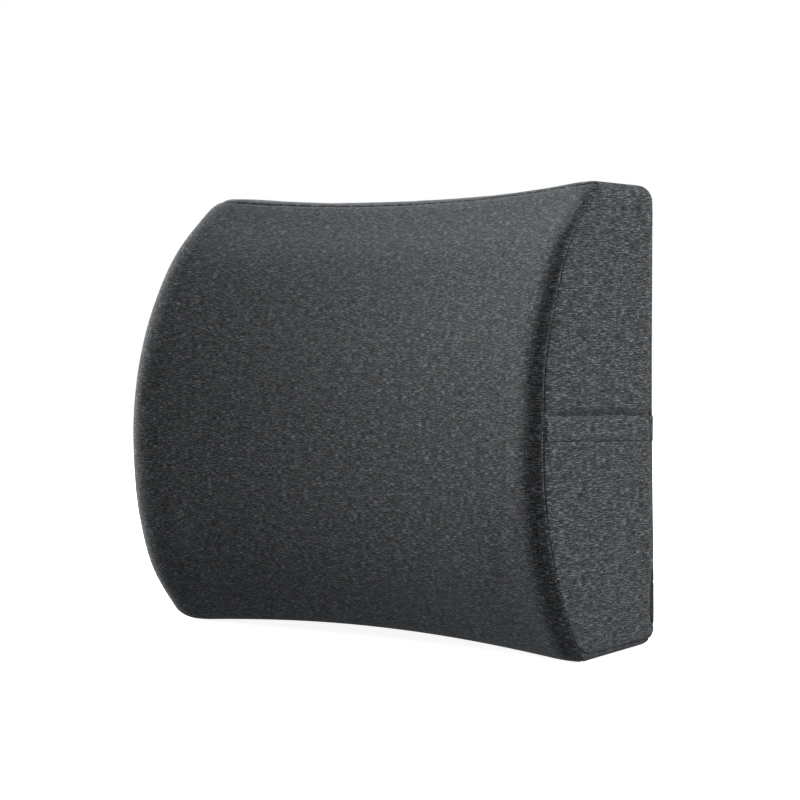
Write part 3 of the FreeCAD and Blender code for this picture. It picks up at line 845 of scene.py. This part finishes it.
def woven(name, threads, fuzz, stops, relief, strength=1.0, **values):
    """Plain cloth, its colour darker where its height is low, which is painted shade between its
    threads.

    threads holds (direction, pitch, weight) for each set of them, and fuzz is the size and the
    shift of the noise that makes up the rest of its height.
    """
    material, tree, shader = new_material(name, **values)
    place = cloth_place(tree)
    terms = [(wave(tree, place, way, pitch), weight) for way, pitch, weight in threads]
    height = weighted(tree, terms + [(speckle(tree, place, *fuzz), 0.5)])
    # The colour ramp follows the height: painted shade between the threads, with a random tone from
    # the fuzz.
    dress(tree, shader, ramp(tree, height, stops), height, relief, strength)
    return material


def heather_knit():
    """Charcoal jersey of dyed and grey yarns, which show as short level streaks."""
    material, tree, shader = new_material("heather_knit", Roughness=0.92, Specular_IOR_Level=0.2,
                                          Sheen_Weight=0.18, Sheen_Roughness=0.45)
    shader.inputs["Sheen Tint"].default_value = (0.75, 0.8, 0.85, 1)
    place = cloth_place(tree)
    yarn = speckle(tree, place, (4.4, 0.72, 1), 3.0, 2.5)
    fibre = speckle(tree, place, (1.1, 0.5, 1), 17.0, 1.5)
    cloud = speckle(tree, place, (11.0, 3.8, 1), 41.0, 2.0)
    value = weighted(tree, [(yarn, 0.50), (fibre, 0.36), (cloud, 0.14)])
    colour = ramp(tree, value, [(0.39, (0.007, 0.0075, 0.008)), (0.47, (0.029, 0.030, 0.031)),
                                (0.54, (0.090, 0.092, 0.094)), (0.62, (0.300, 0.304, 0.308))])
    dye = speckle(tree, place, (5.0, 1.6, 1), 77.0, 2.0)
    colour = tinted(tree, colour, dye, (0.86, 1.02, 1.04), (1.08, 0.99, 1.0))
    wales = wave(tree, place, (1, 0, 0), 1.15)
    courses = wave(tree, place, (0.42, 1, 0), 0.85)
    height = weighted(tree, [(yarn, 1.3), (fibre, 0.7), (wales, 0.10), (courses, 0.14)])
    dress(tree, shader, colour, height, 0.22, 0.8)
    return material


def back_mesh():
    """Black spacer mesh, with small round holes in a honeycomb, and painted shade in the holes."""
    material, tree, shader = new_material("back_mesh", Roughness=0.8, Specular_IOR_Level=0.3,
                                          Sheen_Weight=0.15, Sheen_Roughness=0.5)
    place = cloth_place(tree)
    holes = weighted(tree, [(wave(tree, place, (1, 0, 0), 2.6), 0.333),
                            (wave(tree, place, (0.5, 0.866, 0), 2.6), 0.333),
                            (wave(tree, place, (0.5, -0.866, 0), 2.6), 0.334)])
    fuzz = speckle(tree, place, (0.5, 0.5, 1), 5.0)
    depth = weighted(tree, [(holes, 1.0), (fuzz, 0.25)])
    # The holes are painted far darker than the ribs: painted shade in the holes, with a random tone
    # from the fuzz.
    colour = ramp(tree, depth, [(0.0, (0.021, 0.021, 0.023)), (0.30, (0.017, 0.017, 0.018)),
                                (0.62, (0.0035, 0.0035, 0.004)), (1.0, (0.002, 0.002, 0.002))])
    sunk = node(tree, "Math", {0: depth, 1: -1.0}, operation="MULTIPLY").outputs[0]
    dress(tree, shader, colour, sunk, 0.5)
    return material


def moulded(name, dark, light, roughness, grain, relief, **values):
    """Moulded plastic or painted metal: a fine grain, and faint wear in its gloss."""
    material, tree, shader = new_material(name, Roughness=roughness, **values)
    place = solid_place(tree)
    fine = speckle(tree, place, (grain,) * 3, 1.0, 3.0)
    broad = speckle(tree, place, (grain * 14,) * 3, 8.0, 2.0)
    colour = ramp(tree, weighted(tree, [(fine, 0.5), (broad, 0.5)]), [(0.3, dark), (0.7, light)])
    gloss = node(tree, "MapRange", {"Value": broad, "From Min": 0.3, "From Max": 0.7,
                                    "To Min": roughness - 0.07, "To Max": roughness + 0.09})
    tree.links.new(gloss.outputs[0], shader.inputs["Roughness"])
    dress(tree, shader, colour, fine, relief)
    return material


def foam():
    """Cream slow-recovery foam with fine open pores, and painted shade in the pores."""
    material, tree, shader = new_material("memory_foam", Roughness=0.95, Specular_IOR_Level=0.1)
    place = solid_place(tree)
    pores = node(tree, "TexVoronoi", {"Vector": place, "Scale": 0.9}).outputs["Distance"]
    fine = speckle(tree, place, (0.6,) * 3, 4.0)
    broad = speckle(tree, place, (30.0,) * 3, 6.0)
    height = weighted(tree, [(pores, 0.7), (fine, 0.3)])
    # The pores are painted a darker brown: painted shade in them. The fine noise and the broad tint
    # are a random tone.
    colour = ramp(tree, height, [(0.05, (0.42, 0.34, 0.20)), (0.4, (0.78, 0.70, 0.50)),
                                 (1.0, (0.84, 0.77, 0.58))])
    colour = tinted(tree, colour, broad, (0.95, 0.93, 0.88), (1.0, 1.0, 1.0))
    dress(tree, shader, colour, height, 0.35)
    return material


HEATHER = heather_knit()
MESH_CLOTH = back_mesh()
FOAM = foam()
# Each woven material's colour stops run from the painted shade between its threads up to its
# lightest threads.
WEBBING = woven("webbing", [((1, 0.8, 0), 1.1, 0.3), ((0, 1, 0), 1.2, 0.25)],
                ((0.8, 0.3, 1), 9.0),
                [(0.0, (0.006, 0.006, 0.007)), (0.5, (0.018, 0.018, 0.020)),
                 (1.0, (0.036, 0.036, 0.039))],
                0.18, 0.9, Roughness=0.7, Specular_IOR_Level=0.4, Sheen_Weight=0.1)
TAPE = woven("zip_tape", [((0, 1, 0), 0.9, 0.3), ((1, 0, 0), 0.7, 0.2)], ((0.7, 0.3, 1), 2.0),
             [(0.0, (0.005, 0.005, 0.006)), (1.0, (0.028, 0.028, 0.031))],
             0.12, Roughness=0.75, Specular_IOR_Level=0.35)
LINER_CLOTH = woven("liner_knit", [((1, 0, 0), 1.0, 0.25), ((0.4, 1, 0), 0.8, 0.25)],
                    ((0.6, 0.6, 1), 12.0),
                    [(0.0, (0.50, 0.50, 0.49)), (1.0, (0.82, 0.82, 0.80))],
                    0.15, Roughness=0.9, Specular_IOR_Level=0.2)
PLASTIC = moulded("buckle_plastic", (0.008, 0.008, 0.009), (0.017, 0.017, 0.018),
                  0.42, 0.35, 0.03)
NYLON = moulded("zip_nylon", (0.006, 0.006, 0.007), (0.016, 0.016, 0.017), 0.38, 0.3, 0.02)
METAL = moulded("zip_metal", (0.05, 0.05, 0.053), (0.11, 0.11, 0.115), 0.33, 0.4, 0.02,
                Metallic=1.0)
THREAD = moulded("thread", (0.010, 0.010, 0.011), (0.030, 0.030, 0.032), 0.6, 0.25, 0.05)


# ---- webbing, thread and zip meshes -------------------------------------------------------
def rounded(points, passes=3):
    """Corners cut again and again, until a line of points is a smooth curve."""
    for _ in range(passes):
        cut = [points[0]]
        for a, b in zip(points, points[1:]):
            cut += [a.lerp(b, 0.25), a.lerp(b, 0.75)]
        points = cut + [points[-1]]
    return points


def even(points, step):
    """The same line with its points step apart."""
    lengths = path_lengths(points)
    count = max(2, round(lengths[-1] / step))
    result = []
    i = 0
    for n in range(count + 1):
        want = lengths[-1] * n / count
        while i < len(points) - 2 and lengths[i + 1] < want:
            i += 1
        span = lengths[i + 1] - lengths[i]
        result.append(points[i].lerp(points[i + 1], (want - lengths[i]) / span if span else 0))
    return result


def strap_line(side, bar_x, level, end_x):
    """The middle of a strap: out of the side seam, over to its bar, round it and back."""
    run_y = STRAP_OFF + STRAP_T / 2
    turn_r = BAR_Y - run_y
    sewn = rounded([Vector((side * x, y, 0)) for x, y in
                    (*SEWN_END, (156.0, run_y), (140.0, run_y))])
    turn = [Vector((bar_x - side * turn_r * math.sin(a), BAR_Y - turn_r * math.cos(a), 0))
            for a in [math.pi * i / 24 for i in range(25)]]
    level_x, fold_x = bar_x + side * level, bar_x + side * (level + FOLD_RUN)
    high, low = BAR_Y + turn_r, TAIL_Y + STRAP_T / 2
    back = [Vector((x, mix(high, low, ease(side * x, side * level_x, side * fold_x)), 0))
            for x in [mix(bar_x, end_x, i / 60) for i in range(1, 61)]]
    return even(sewn + turn + back, STRAP_STEP)


def strap_section(places, at):
    """Round a strap's section, over its face and back; it is thinner at its outer places."""
    thin = {places[0]: 0.45, places[1]: 0.8, places[-2]: 0.8, places[-1]: 0.45}
    return [at(f, way, thin.get(f, 1.0))
            for way, order in ((1, places), (-1, places[::-1])) for f in order]


def strap_mesh(name, rings, closed):
    """A strap through its sections, which hold (point, place on the cloth)."""
    bm = bmesh.new()
    uv_layer = bm.loops.layers.uv.new("cloth")
    verts = [[bm.verts.new(point) for point, _ in ring] for ring in rings]
    size = len(rings[0])
    for a in range(len(rings) if closed else len(rings) - 1):
        n = (a + 1) % len(rings)
        for b in range(size):
            c = (b + 1) % size
            corners = [(a, b), (a, c), (n, c), (n, b)]
            face = bm.faces.new([verts[p][q] for p, q in corners])
            for loop, (p, q) in zip(face.loops, corners):
                loop[uv_layer].uv = rings[p][q][1]
    for ring in () if closed else (verts[0], verts[-1]):
        for b in range(size // 2 - 1):
            bm.faces.new((ring[b], ring[b + 1], ring[size - 2 - b], ring[size - 1 - b]))
    return finished(name, bm)


def ribbed_strap(name, line):
    """Flat woven webbing along a line, with its cross ribs."""
    rings = []
    for i, (point, s) in enumerate(zip(line, path_lengths(line))):
        along = line[min(i + 1, len(line) - 1)] - line[max(i - 1, 0)]
        out = Vector((along.y, -along.x, 0)).normalized()
        half = STRAP_T / 2 - RIB_RELIEF + RIB_RELIEF * math.cos(2 * math.pi * s / RIB_PITCH)
        rings.append(strap_section(STRAP_PLACES, lambda f, way, thin: (
            point + out * way * half * thin + Vector((0, 0, BAND_Z + f * STRAP_HALF)),
            (s, f * STRAP_HALF + way * STRAP_UV_APART))))
    return strap_mesh(name, rings, False)


def finished(name, bm):
    """A closed mesh in millimetres, made into a smooth object in the frame's metres."""
    bmesh.ops.recalc_face_normals(bm, faces=bm.faces)
    for v in bm.verts:
        v.co = world(v.co)
    for face in bm.faces:
        face.smooth = True
    return mesh_object(name, bm)


def add_tube(bm, line, radius, sides=6):
    """A closed round tube along a line, with rounded ends."""
    rings = []
    up = Vector((0, 0.31, 0.95))
    last = len(line) - 1
    for i, point in enumerate(line):
        along = (line[min(i + 1, last)] - line[max(i - 1, 0)]).normalized()
        a = along.cross(up).normalized()
        b = along.cross(a)
        thin = 0.6 if i in (0, last) else 1.0
        rings.append([bm.verts.new(point + (a * math.cos(t) + b * math.sin(t)) * radius * thin)
                      for t in [2 * math.pi * k / sides for k in range(sides)]])
    for low, high in zip(rings, rings[1:]):
        for k in range(sides):
            n = (k + 1) % sides
            bm.faces.new((low[k], low[n], high[n], high[k]))
    bm.faces.new(rings[0][::-1])
    bm.faces.new(rings[-1])


def stitch_line(a, b, out, kind=STITCH):
    """Stitches from a to b: each a thread that comes up out of the cloth and goes in again."""
    length, gap, radius = kind
    whole = (b - a).length
    count = max(1, int((whole + gap) / (length + gap)))
    way = (b - a).normalized()
    spare = (whole - count * (length + gap) + gap) / 2
    stitches = []
    for i in range(count):
        start = a + way * (spare + i * (length + gap))
        stitches.append([start + way * length * f + out * rise for f, rise in
                         ((0, -0.45), (0.1, 0.08), (0.35, 0.26), (0.65, 0.26), (0.9, 0.08),
                          (1, -0.45))])
    return [(stitch, radius) for stitch in stitches]


def threads(name, stitches):
    bm = bmesh.new()
    for line, radius in stitches:
        add_tube(bm, line, radius)
    return finished(name, bm)


def coil(name, side):
    """A row of zip teeth: one nylon thread wound into a flat coil, on its cord."""
    bm = bmesh.new()
    middle = ZIP_Z + side * COIL_MIDDLE
    turns = round(2 * COIL_HALF / COIL_PITCH)
    line = []
    for n in range(turns * COIL_STEPS + 1):
        a = 2 * math.pi * n / COIL_STEPS
        line.append(Vector((mix(-COIL_WOUND, COIL_WOUND, n / (turns * COIL_STEPS)),
                            COIL_Y + COIL_RISE * math.sin(a),
                            middle + side * COIL_REACH * math.cos(a))))
    add_tube(bm, line, COIL_WIRE)
    cord = [Vector((mix(-COIL_HALF, COIL_HALF, i / 40), COIL_Y, middle)) for i in range(41)]
    add_tube(bm, cord, COIL_CORD, 8)
    return finished(name, bm)


def rounded_block(bm, low, high, radius, segments=3):
    """A box with rolled edges, which is how the crimped zip stops are formed."""
    cube = bmesh.ops.create_cube(bm, size=1.0)["verts"]
    size, middle = high - low, (high + low) / 2
    for v in cube:
        v.co = Vector((v.co.x * size.x, v.co.y * size.y, v.co.z * size.z)) + middle
    edges = list(dict.fromkeys(edge for v in cube for edge in v.link_edges))
    bmesh.ops.bevel(bm, geom=edges, offset=radius, segments=segments, profile=0.5,
                    affect="EDGES")


def flat_tape(name, side):
    """One of the zip's woven tapes, with ribs on its outer face."""
    near, far = [ZIP_Z + side * z for z in TAPE_Z]
    line_z = [mix(near, far, i / 14) for i in range(15)]
    line_x = [mix(-ZIP_HALF, ZIP_HALF, i / 60) for i in range(61)]
    low_y, top_y = TAPE_Y
    top = [[Vector((x, top_y - TAPE_RELIEF * abs(math.sin(i * TAPE_RIB_TURN)), z))
            for i, z in enumerate(line_z)] for x in line_x]
    low = [[Vector((x, low_y, z)) for z in line_z] for x in line_x]
    bm = bmesh.new()
    uv_layer = bm.loops.layers.uv.new("cloth")
    for points, flip in ((top, False), (low, True)):
        uvs = [[(p.x, p.z) for p in row] for row in points]
        add_grid(bm, uv_layer, points, uvs, flip)
    walls = [([row[k] for row in top], [row[k] for row in low]) for k in (0, -1)]
    walls += [(top[k], low[k]) for k in (0, -1)]
    for points in walls:
        add_grid(bm, uv_layer, points, [[(p.x, p.z) for p in row] for row in points], False)
    bmesh.ops.remove_doubles(bm, verts=bm.verts, dist=0.01)
    return finished(name, bm)


def elastic_loop(name):
    """The keeper: a band of narrow elastic sewn into a loop round both layers of the strap."""
    low, high = [local(corner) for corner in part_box("strap_keeper")]
    turn_r = KEEPER_CORNER - KEEPER_T / 2
    turns = []
    for y, z, start in ((high.y - KEEPER_CORNER, high.z - KEEPER_CORNER, 0),
                        (low.y + KEEPER_CORNER, high.z - KEEPER_CORNER, 90),
                        (low.y + KEEPER_CORNER, low.z + KEEPER_CORNER, 180),
                        (high.y - KEEPER_CORNER, low.z + KEEPER_CORNER, 270)):
        for a in [math.radians(start + 90 * step / 5) for step in range(6)]:
            turns.append((y + turn_r * math.cos(a), z + turn_r * math.sin(a), a))
    middle = []
    for (ya, za, a), (yb, zb, b) in zip(turns, turns[1:] + turns[:1]):
        count = max(1, round(math.hypot(yb - ya, zb - za) / KEEPER_STEP))
        turn = (b - a) % (2 * math.pi)
        middle += [(mix(ya, yb, k / count), mix(za, zb, k / count), a + turn * k / count)
                   for k in range(count)]
    rings = []
    for i, (y, z, a) in enumerate(middle):
        out = Vector((0, math.cos(a), math.sin(a)))
        half = KEEPER_T / 2 - KEEPER_RELIEF + KEEPER_RELIEF * (-1) ** i
        rings.append(strap_section(KEEPER_PLACES, lambda f, way, thin: (
            Vector((mix(low.x, high.x, f), y, z)) + out * way * half * thin,
            (i * KEEPER_STEP, f * (high.x - low.x) + way * KEEPER_UV_APART))))
    return strap_mesh(name, rings, True)


def painted(piece, material):
    piece.data.materials.clear()
    piece.data.materials.append(material)
    return piece


def added(piece, material, body, slot, *nodes):
    """A finished piece: its material, its body and the CAD nodes it stands for. slot is not used.
    """
    painted(piece, material)
    if body:
        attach(piece, body)
    if nodes:
        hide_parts(*nodes)
    return piece


# ---- the cover, its liner and its core --------------------------------------------------
def make_cover():
    """The panels of the cover, filled out by the foam; the pieces by name."""
    form = Form()
    panels = form.sheets()
    crown(form, panels)
    press_band(panels)
    pieces = {}
    for name, sheets in panels.items():
        if name in ("back_panel", "back_hem"):
            piece = sewn_panel(name + "_cloth", sheets, crease=BACK_CREASE)
            added(piece, MESH_CLOTH, "cushion", "back_mesh", name)
        else:
            piece = sewn_panel(name + "_cloth", sheets)
            added(piece, HEATHER, "cushion", "heather_knit", name)
        pieces[name] = piece
    return pieces


def side_line(side, z):
    """A level line over a side, from the front seam round to the back seam."""
    row = (z, 0.0, 0.0)
    start = front_point(row, COLUMNS[-1] if side > 0 else COLUMNS[0], 0.0, 1.0)
    corner = Vector((side * side_point(row)[0], 0, start.z))
    return gusset_line(start, corner, Vector((-side, 0, 0)), BACK_SEAM)


def band_place(y):
    """Where the band is at y: how far forward from 0 to 1, its middle's height, half its width."""
    forward = -y / smooth(SIDE_DEPTHS, 0.5)
    return forward, BAND_Z - BAND_SLOPE * y, mix(*BAND_HALF, forward)


def band_line(side, across):
    """A line along the band, -1 at its lower edge and 1 at its upper one, and what is out."""
    points, outs = [], []
    for i, rough in enumerate(side_line(side, BAND_Z)):
        _, middle, half = band_place(rough.y)
        line = side_line(side, middle + across * half)
        along = line[min(i + 1, len(line) - 1)] - line[max(i - 1, 0)]
        points.append(line[i])
        outs.append(Vector((along.y, -along.x, 0)).normalized() * side)
    return points, outs


def press_band(panels):
    """The sides as the band pulls them in: under it, and in a soft roll above it."""
    for name in ("side_panel_right", "side_panel_left"):
        side = 1 if name.endswith("right") else -1
        for points, _, _ in panels[name]:
            for line in points:
                for b, point in enumerate(line):
                    forward, middle, half = band_place(point.y)
                    above = point.z - middle - half
                    sunk = BAND_PRESS + BAND_TILT * min(max(above / (2 * half) + 1, 0.0), 1.0)
                    sunk *= ease(above + 2 * half, *BAND_FOOT)
                    sunk *= math.exp(-(max(above, 0.0) / BAND_CREASE_REACH) ** 2)
                    for away in (above, above + 2 * half):
                        sunk += BAND_GROOVE * math.exp(-(away / BAND_GROOVE_REACH) ** 2)
                    held = ease(forward, *BAND_HELD[0]) * ease(forward, *BAND_HELD[1])
                    line[b] = point - Vector((side * held * sunk, 0, 0))


def make_side_band(side, name, panel):
    """A strip of the cover's cloth sewn over a side, from the front seam to the back seam."""
    surface = BVHTree.FromObject(panel, bpy.context.evaluated_depsgraph_get())
    points = []
    for across, drop in BAND_LINES:
        line, outs = band_line(side, across)
        last = len(line) - 1
        lifted = []
        for i, (point, out) in enumerate(zip(line, outs)):
            hit = surface.ray_cast(world(point + out * RAY_START), -out, RAY_REACH * MM)[0]
            if hit is not None:
                point = local(hit)
            lift = mix(BAND_END_LIFT, BAND_LIFT - drop, ease(-point.y, *BAND_END_RUN))
            lifted.append(point + out * mix(-BAND_ROOT, lift, ease(min(i, last - i), 0, 2)))
        points.append(lifted)
    strip = sheet(points, side < 0, shift=(800 * side, 300), grain=SIDE_GRAIN)
    piece = sewn_panel(name + "_cloth", [strip], 2, BAND_T, BAND_TUCK, BAND_SINK)
    added(piece, HEATHER, "cushion", "heather_knit", name)


def make_inside():
    """The foam core, and the thin liner round it."""
    for name, skin, thickness, material, slot in (
            ("foam_core", CORE_SKIN, 0, FOAM, "memory_foam"),
            ("inner_liner", LINER_SKIN, LINER_T, LINER_CLOTH, "liner_knit")):
        form = Form(skin)
        sheets = [one for group in form.sheets().values() for one in group] + form.slot()
        bm = joined_sheets(sheets)
        bmesh.ops.recalc_face_normals(bm, faces=bm.faces)
        piece = thickened(to_frame(name + "_body", bm), thickness)
        added(piece, material, "cushion", slot, name)


# ---- zip --------------------------------------------------------------------------------
def make_zip():
    """The zip's tapes, teeth, stitching and stops."""
    for side, name in ((1, "upper"), (-1, "lower")):
        added(flat_tape("zip_tape_" + name + "_cloth", side), TAPE, "cushion", "zip_tape",
              "zipper_tape_" + name)
        added(coil("zip_coil_" + name + "_thread", side), NYLON, "cushion", "zip_coil",
              "zipper_coil_" + name)
        z = ZIP_Z + side * (SLOT_HALF + SEWN_ROW)
        row = stitch_line(Vector((-ZIP_HALF + 2, SEWN_Y, z)), Vector((ZIP_HALF - 2, SEWN_Y, z)),
                          Vector((0, 1, 0)))
        added(threads("zip_stitching_" + name, row), THREAD, "cushion", "back_mesh")
    for node_name in ("zipper_top_stops", "zipper_bottom_stop"):
        bm = bmesh.new()
        for side in (1, -1) if node_name == "zipper_top_stops" else (0,):
            a, b = [local(corner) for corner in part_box(node_name)]
            a.y += 0.1
            if side > 0:
                a.z = ZIP_Z + STOP_GAP
            if side < 0:
                b.z = ZIP_Z - STOP_GAP
            rounded_block(bm, a, b, STOP_ROUND)
            half, rise, radius = STOP_RIDGE
            for x in (a.x + STOP_RIDGE_IN, b.x - STOP_RIDGE_IN):
                rounded_block(bm, Vector((x - half, b.y - 0.5, a.z + 0.2)),
                              Vector((x + half, b.y + rise, b.z - 0.2)), radius, 2)
        added(finished(node_name + "_crimped", bm), METAL, "cushion", "zip_metal", node_name)


# ---- strap and buckle ---------------------------------------------------------------------
def box_stitching(x0, x1, y, half):
    """A square of stitches with a cross in it."""
    corners = [Vector((x, y, BAND_Z + s * half)) for x, s in ((x0, -1), (x1, -1), (x1, 1), (x0, 1))]
    out = Vector((0, 1, 0))
    stitches = []
    for a, b in ((0, 1), (1, 2), (2, 3), (3, 0), (0, 2), (1, 3)):
        stitches += stitch_line(corners[a], corners[b], out, BOX_STITCH)
    return stitches


def make_straps():
    """The two halves of the strap, their stitching, and the keeper on the right one."""
    left = ribbed_strap("strap_left_webbing", strap_line(-1, SOCKET_BAR_X, 1.0, LEFT_END))
    added(left, WEBBING, "cushion", "webbing", "strap_left")
    grip = GRIP_BAR_X + 1.6 - PLUG_BAR_X
    right = ribbed_strap("strap_right_webbing", strap_line(1, PLUG_BAR_X, grip, TAIL_END))
    added(right, WEBBING, None, "webbing", "strap_right")
    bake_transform(right)
    fold = box_stitching(LEFT_END + 1.2, LEFT_END + 6.2, TAIL_Y + STRAP_T, STRAP_W / 2 - 2.5)
    added(threads("strap_fold_stitching", fold), THREAD, "cushion", "webbing")
    for side, name in ((-1, "strap_tack_left"), (1, "strap_tack_right")):
        tack = []
        for x in TACK_X:
            a = Vector((side * x, TACK_Y, BAND_Z - STRAP_W / 2 + 2))
            b = a + Vector((0, 0, STRAP_W - 4))
            tack += stitch_line(a, b, Vector((0, 1, 0)), TACK_STITCH)
        added(threads(name, tack), THREAD, "cushion", "webbing")
    added(elastic_loop("strap_keeper_elastic"), WEBBING, "keeper", "webbing", "strap_keeper")


def paint_cad_nodes():
    """Hard pieces keep the shape they were made with, and get a finish."""
    for names, material in ((("buckle_socket", "buckle_plug", "prong_upper", "prong_lower"),
                             PLASTIC), (("zipper_slider", "zipper_pull"), METAL)):
        for name in names:
            obj = frame["nodes"][name]
            for slot in obj.material_slots:
                slot.material = material


cover = make_cover()
for side, name in ((1, "right"), (-1, "left")):
    make_side_band(side, "side_band_" + name, cover["side_panel_" + name])
make_inside()
make_zip()
make_straps()
paint_cad_nodes()

# ---- light, floor and camera ------------------------------------------------------------
VIEW_AZIMUTH = math.radians(38.0)
VIEW_PITCH = math.radians(1.879)
VIEW_LENS = 95.45
VIEW_TARGET = Vector((0, BACK_Y - 50 * MM, 160 * MM))
VIEW_DISTANCE = 1.54
VIEW_ASIDE = 0.00777
VIEW_DOWN = -0.00894
FLOOR_HALF = 6.0
SKY_LIGHT = (0.195, 0.20, 0.208, 1)
LIGHT_DISTANCE = 2.4


def place_camera():
    """The camera, which sees the cushion from its front right and a little above."""
    data = bpy.data.cameras.new("camera")
    data.sensor_width = 36
    data.lens = VIEW_LENS
    camera = placed("camera", data)
    back = Vector((math.sin(VIEW_AZIMUTH) * math.cos(VIEW_PITCH),
                   -math.cos(VIEW_AZIMUTH) * math.cos(VIEW_PITCH), math.sin(VIEW_PITCH)))
    right = Vector((math.cos(VIEW_AZIMUTH), math.sin(VIEW_AZIMUTH), 0))
    up = back.cross(right)
    camera.location = (VIEW_TARGET + back * VIEW_DISTANCE - right * VIEW_ASIDE - up * VIEW_DOWN)
    camera.rotation_euler = back.to_track_quat("Z", "Y").to_euler()
    bpy.context.scene.camera = camera


def soft_light(name, azimuth, elevation, size, power):
    """A soft box round the cushion: azimuth 0 is in front of it, and goes to the right."""
    data = bpy.data.lights.new(name, "AREA")
    data.shape = "RECTANGLE"
    data.size, data.size_y = size
    data.energy = power
    light = placed(name, data)
    a, e = math.radians(azimuth), math.radians(elevation)
    way = Vector((math.sin(a) * math.cos(e), -math.cos(a) * math.cos(e), math.sin(e)))
    light.location = VIEW_TARGET + way * LIGHT_DISTANCE
    light.rotation_euler = way.to_track_quat("Z", "Y").to_euler()


def make_stage():
    """A pale floor, and a studio that looks white and lights the cushion softly."""
    mesh = bpy.data.meshes.new("floor")
    corners = [(x * FLOOR_HALF, y * FLOOR_HALF, 0) for x, y in ((-1, -1), (1, -1), (1, 1), (-1, 1))]
    mesh.from_pydata(corners, [], [(0, 1, 2, 3)])
    floor = placed("floor", mesh)
    floor.visible_diffuse = False
    floor.visible_glossy = False
    paint, _, shader = new_material("floor_paint", Roughness=0.9, Emission_Strength=0.9)
    shader.inputs["Base Color"].default_value = (0.8, 0.8, 0.8, 1)
    shader.inputs["Emission Color"].default_value = (1, 1, 1, 1)
    mesh.materials.append(paint)

    studio = bpy.data.worlds.new("studio")
    studio.use_nodes = True
    bpy.context.scene.world = studio
    tree = studio.node_tree
    seen = node(tree, "LightPath").outputs["Is Camera Ray"]
    glow = node(tree, "Mix", {"Factor": seen, "A": SKY_LIGHT, "B": (1, 1, 1, 1)},
                data_type="RGBA").outputs["Result"]
    tree.links.new(glow, tree.nodes["Background"].inputs["Color"])


place_camera()
make_stage()
soft_light("light_left", -79, 15, (1.2, 1.3), 128)
soft_light("light_right", 132, 35, (1.0, 1.2), 47)
soft_light("light_edge", 85, 5, (1.0, 1.4), 11)
bpy.context.scene.view_settings.view_transform = "Standard"
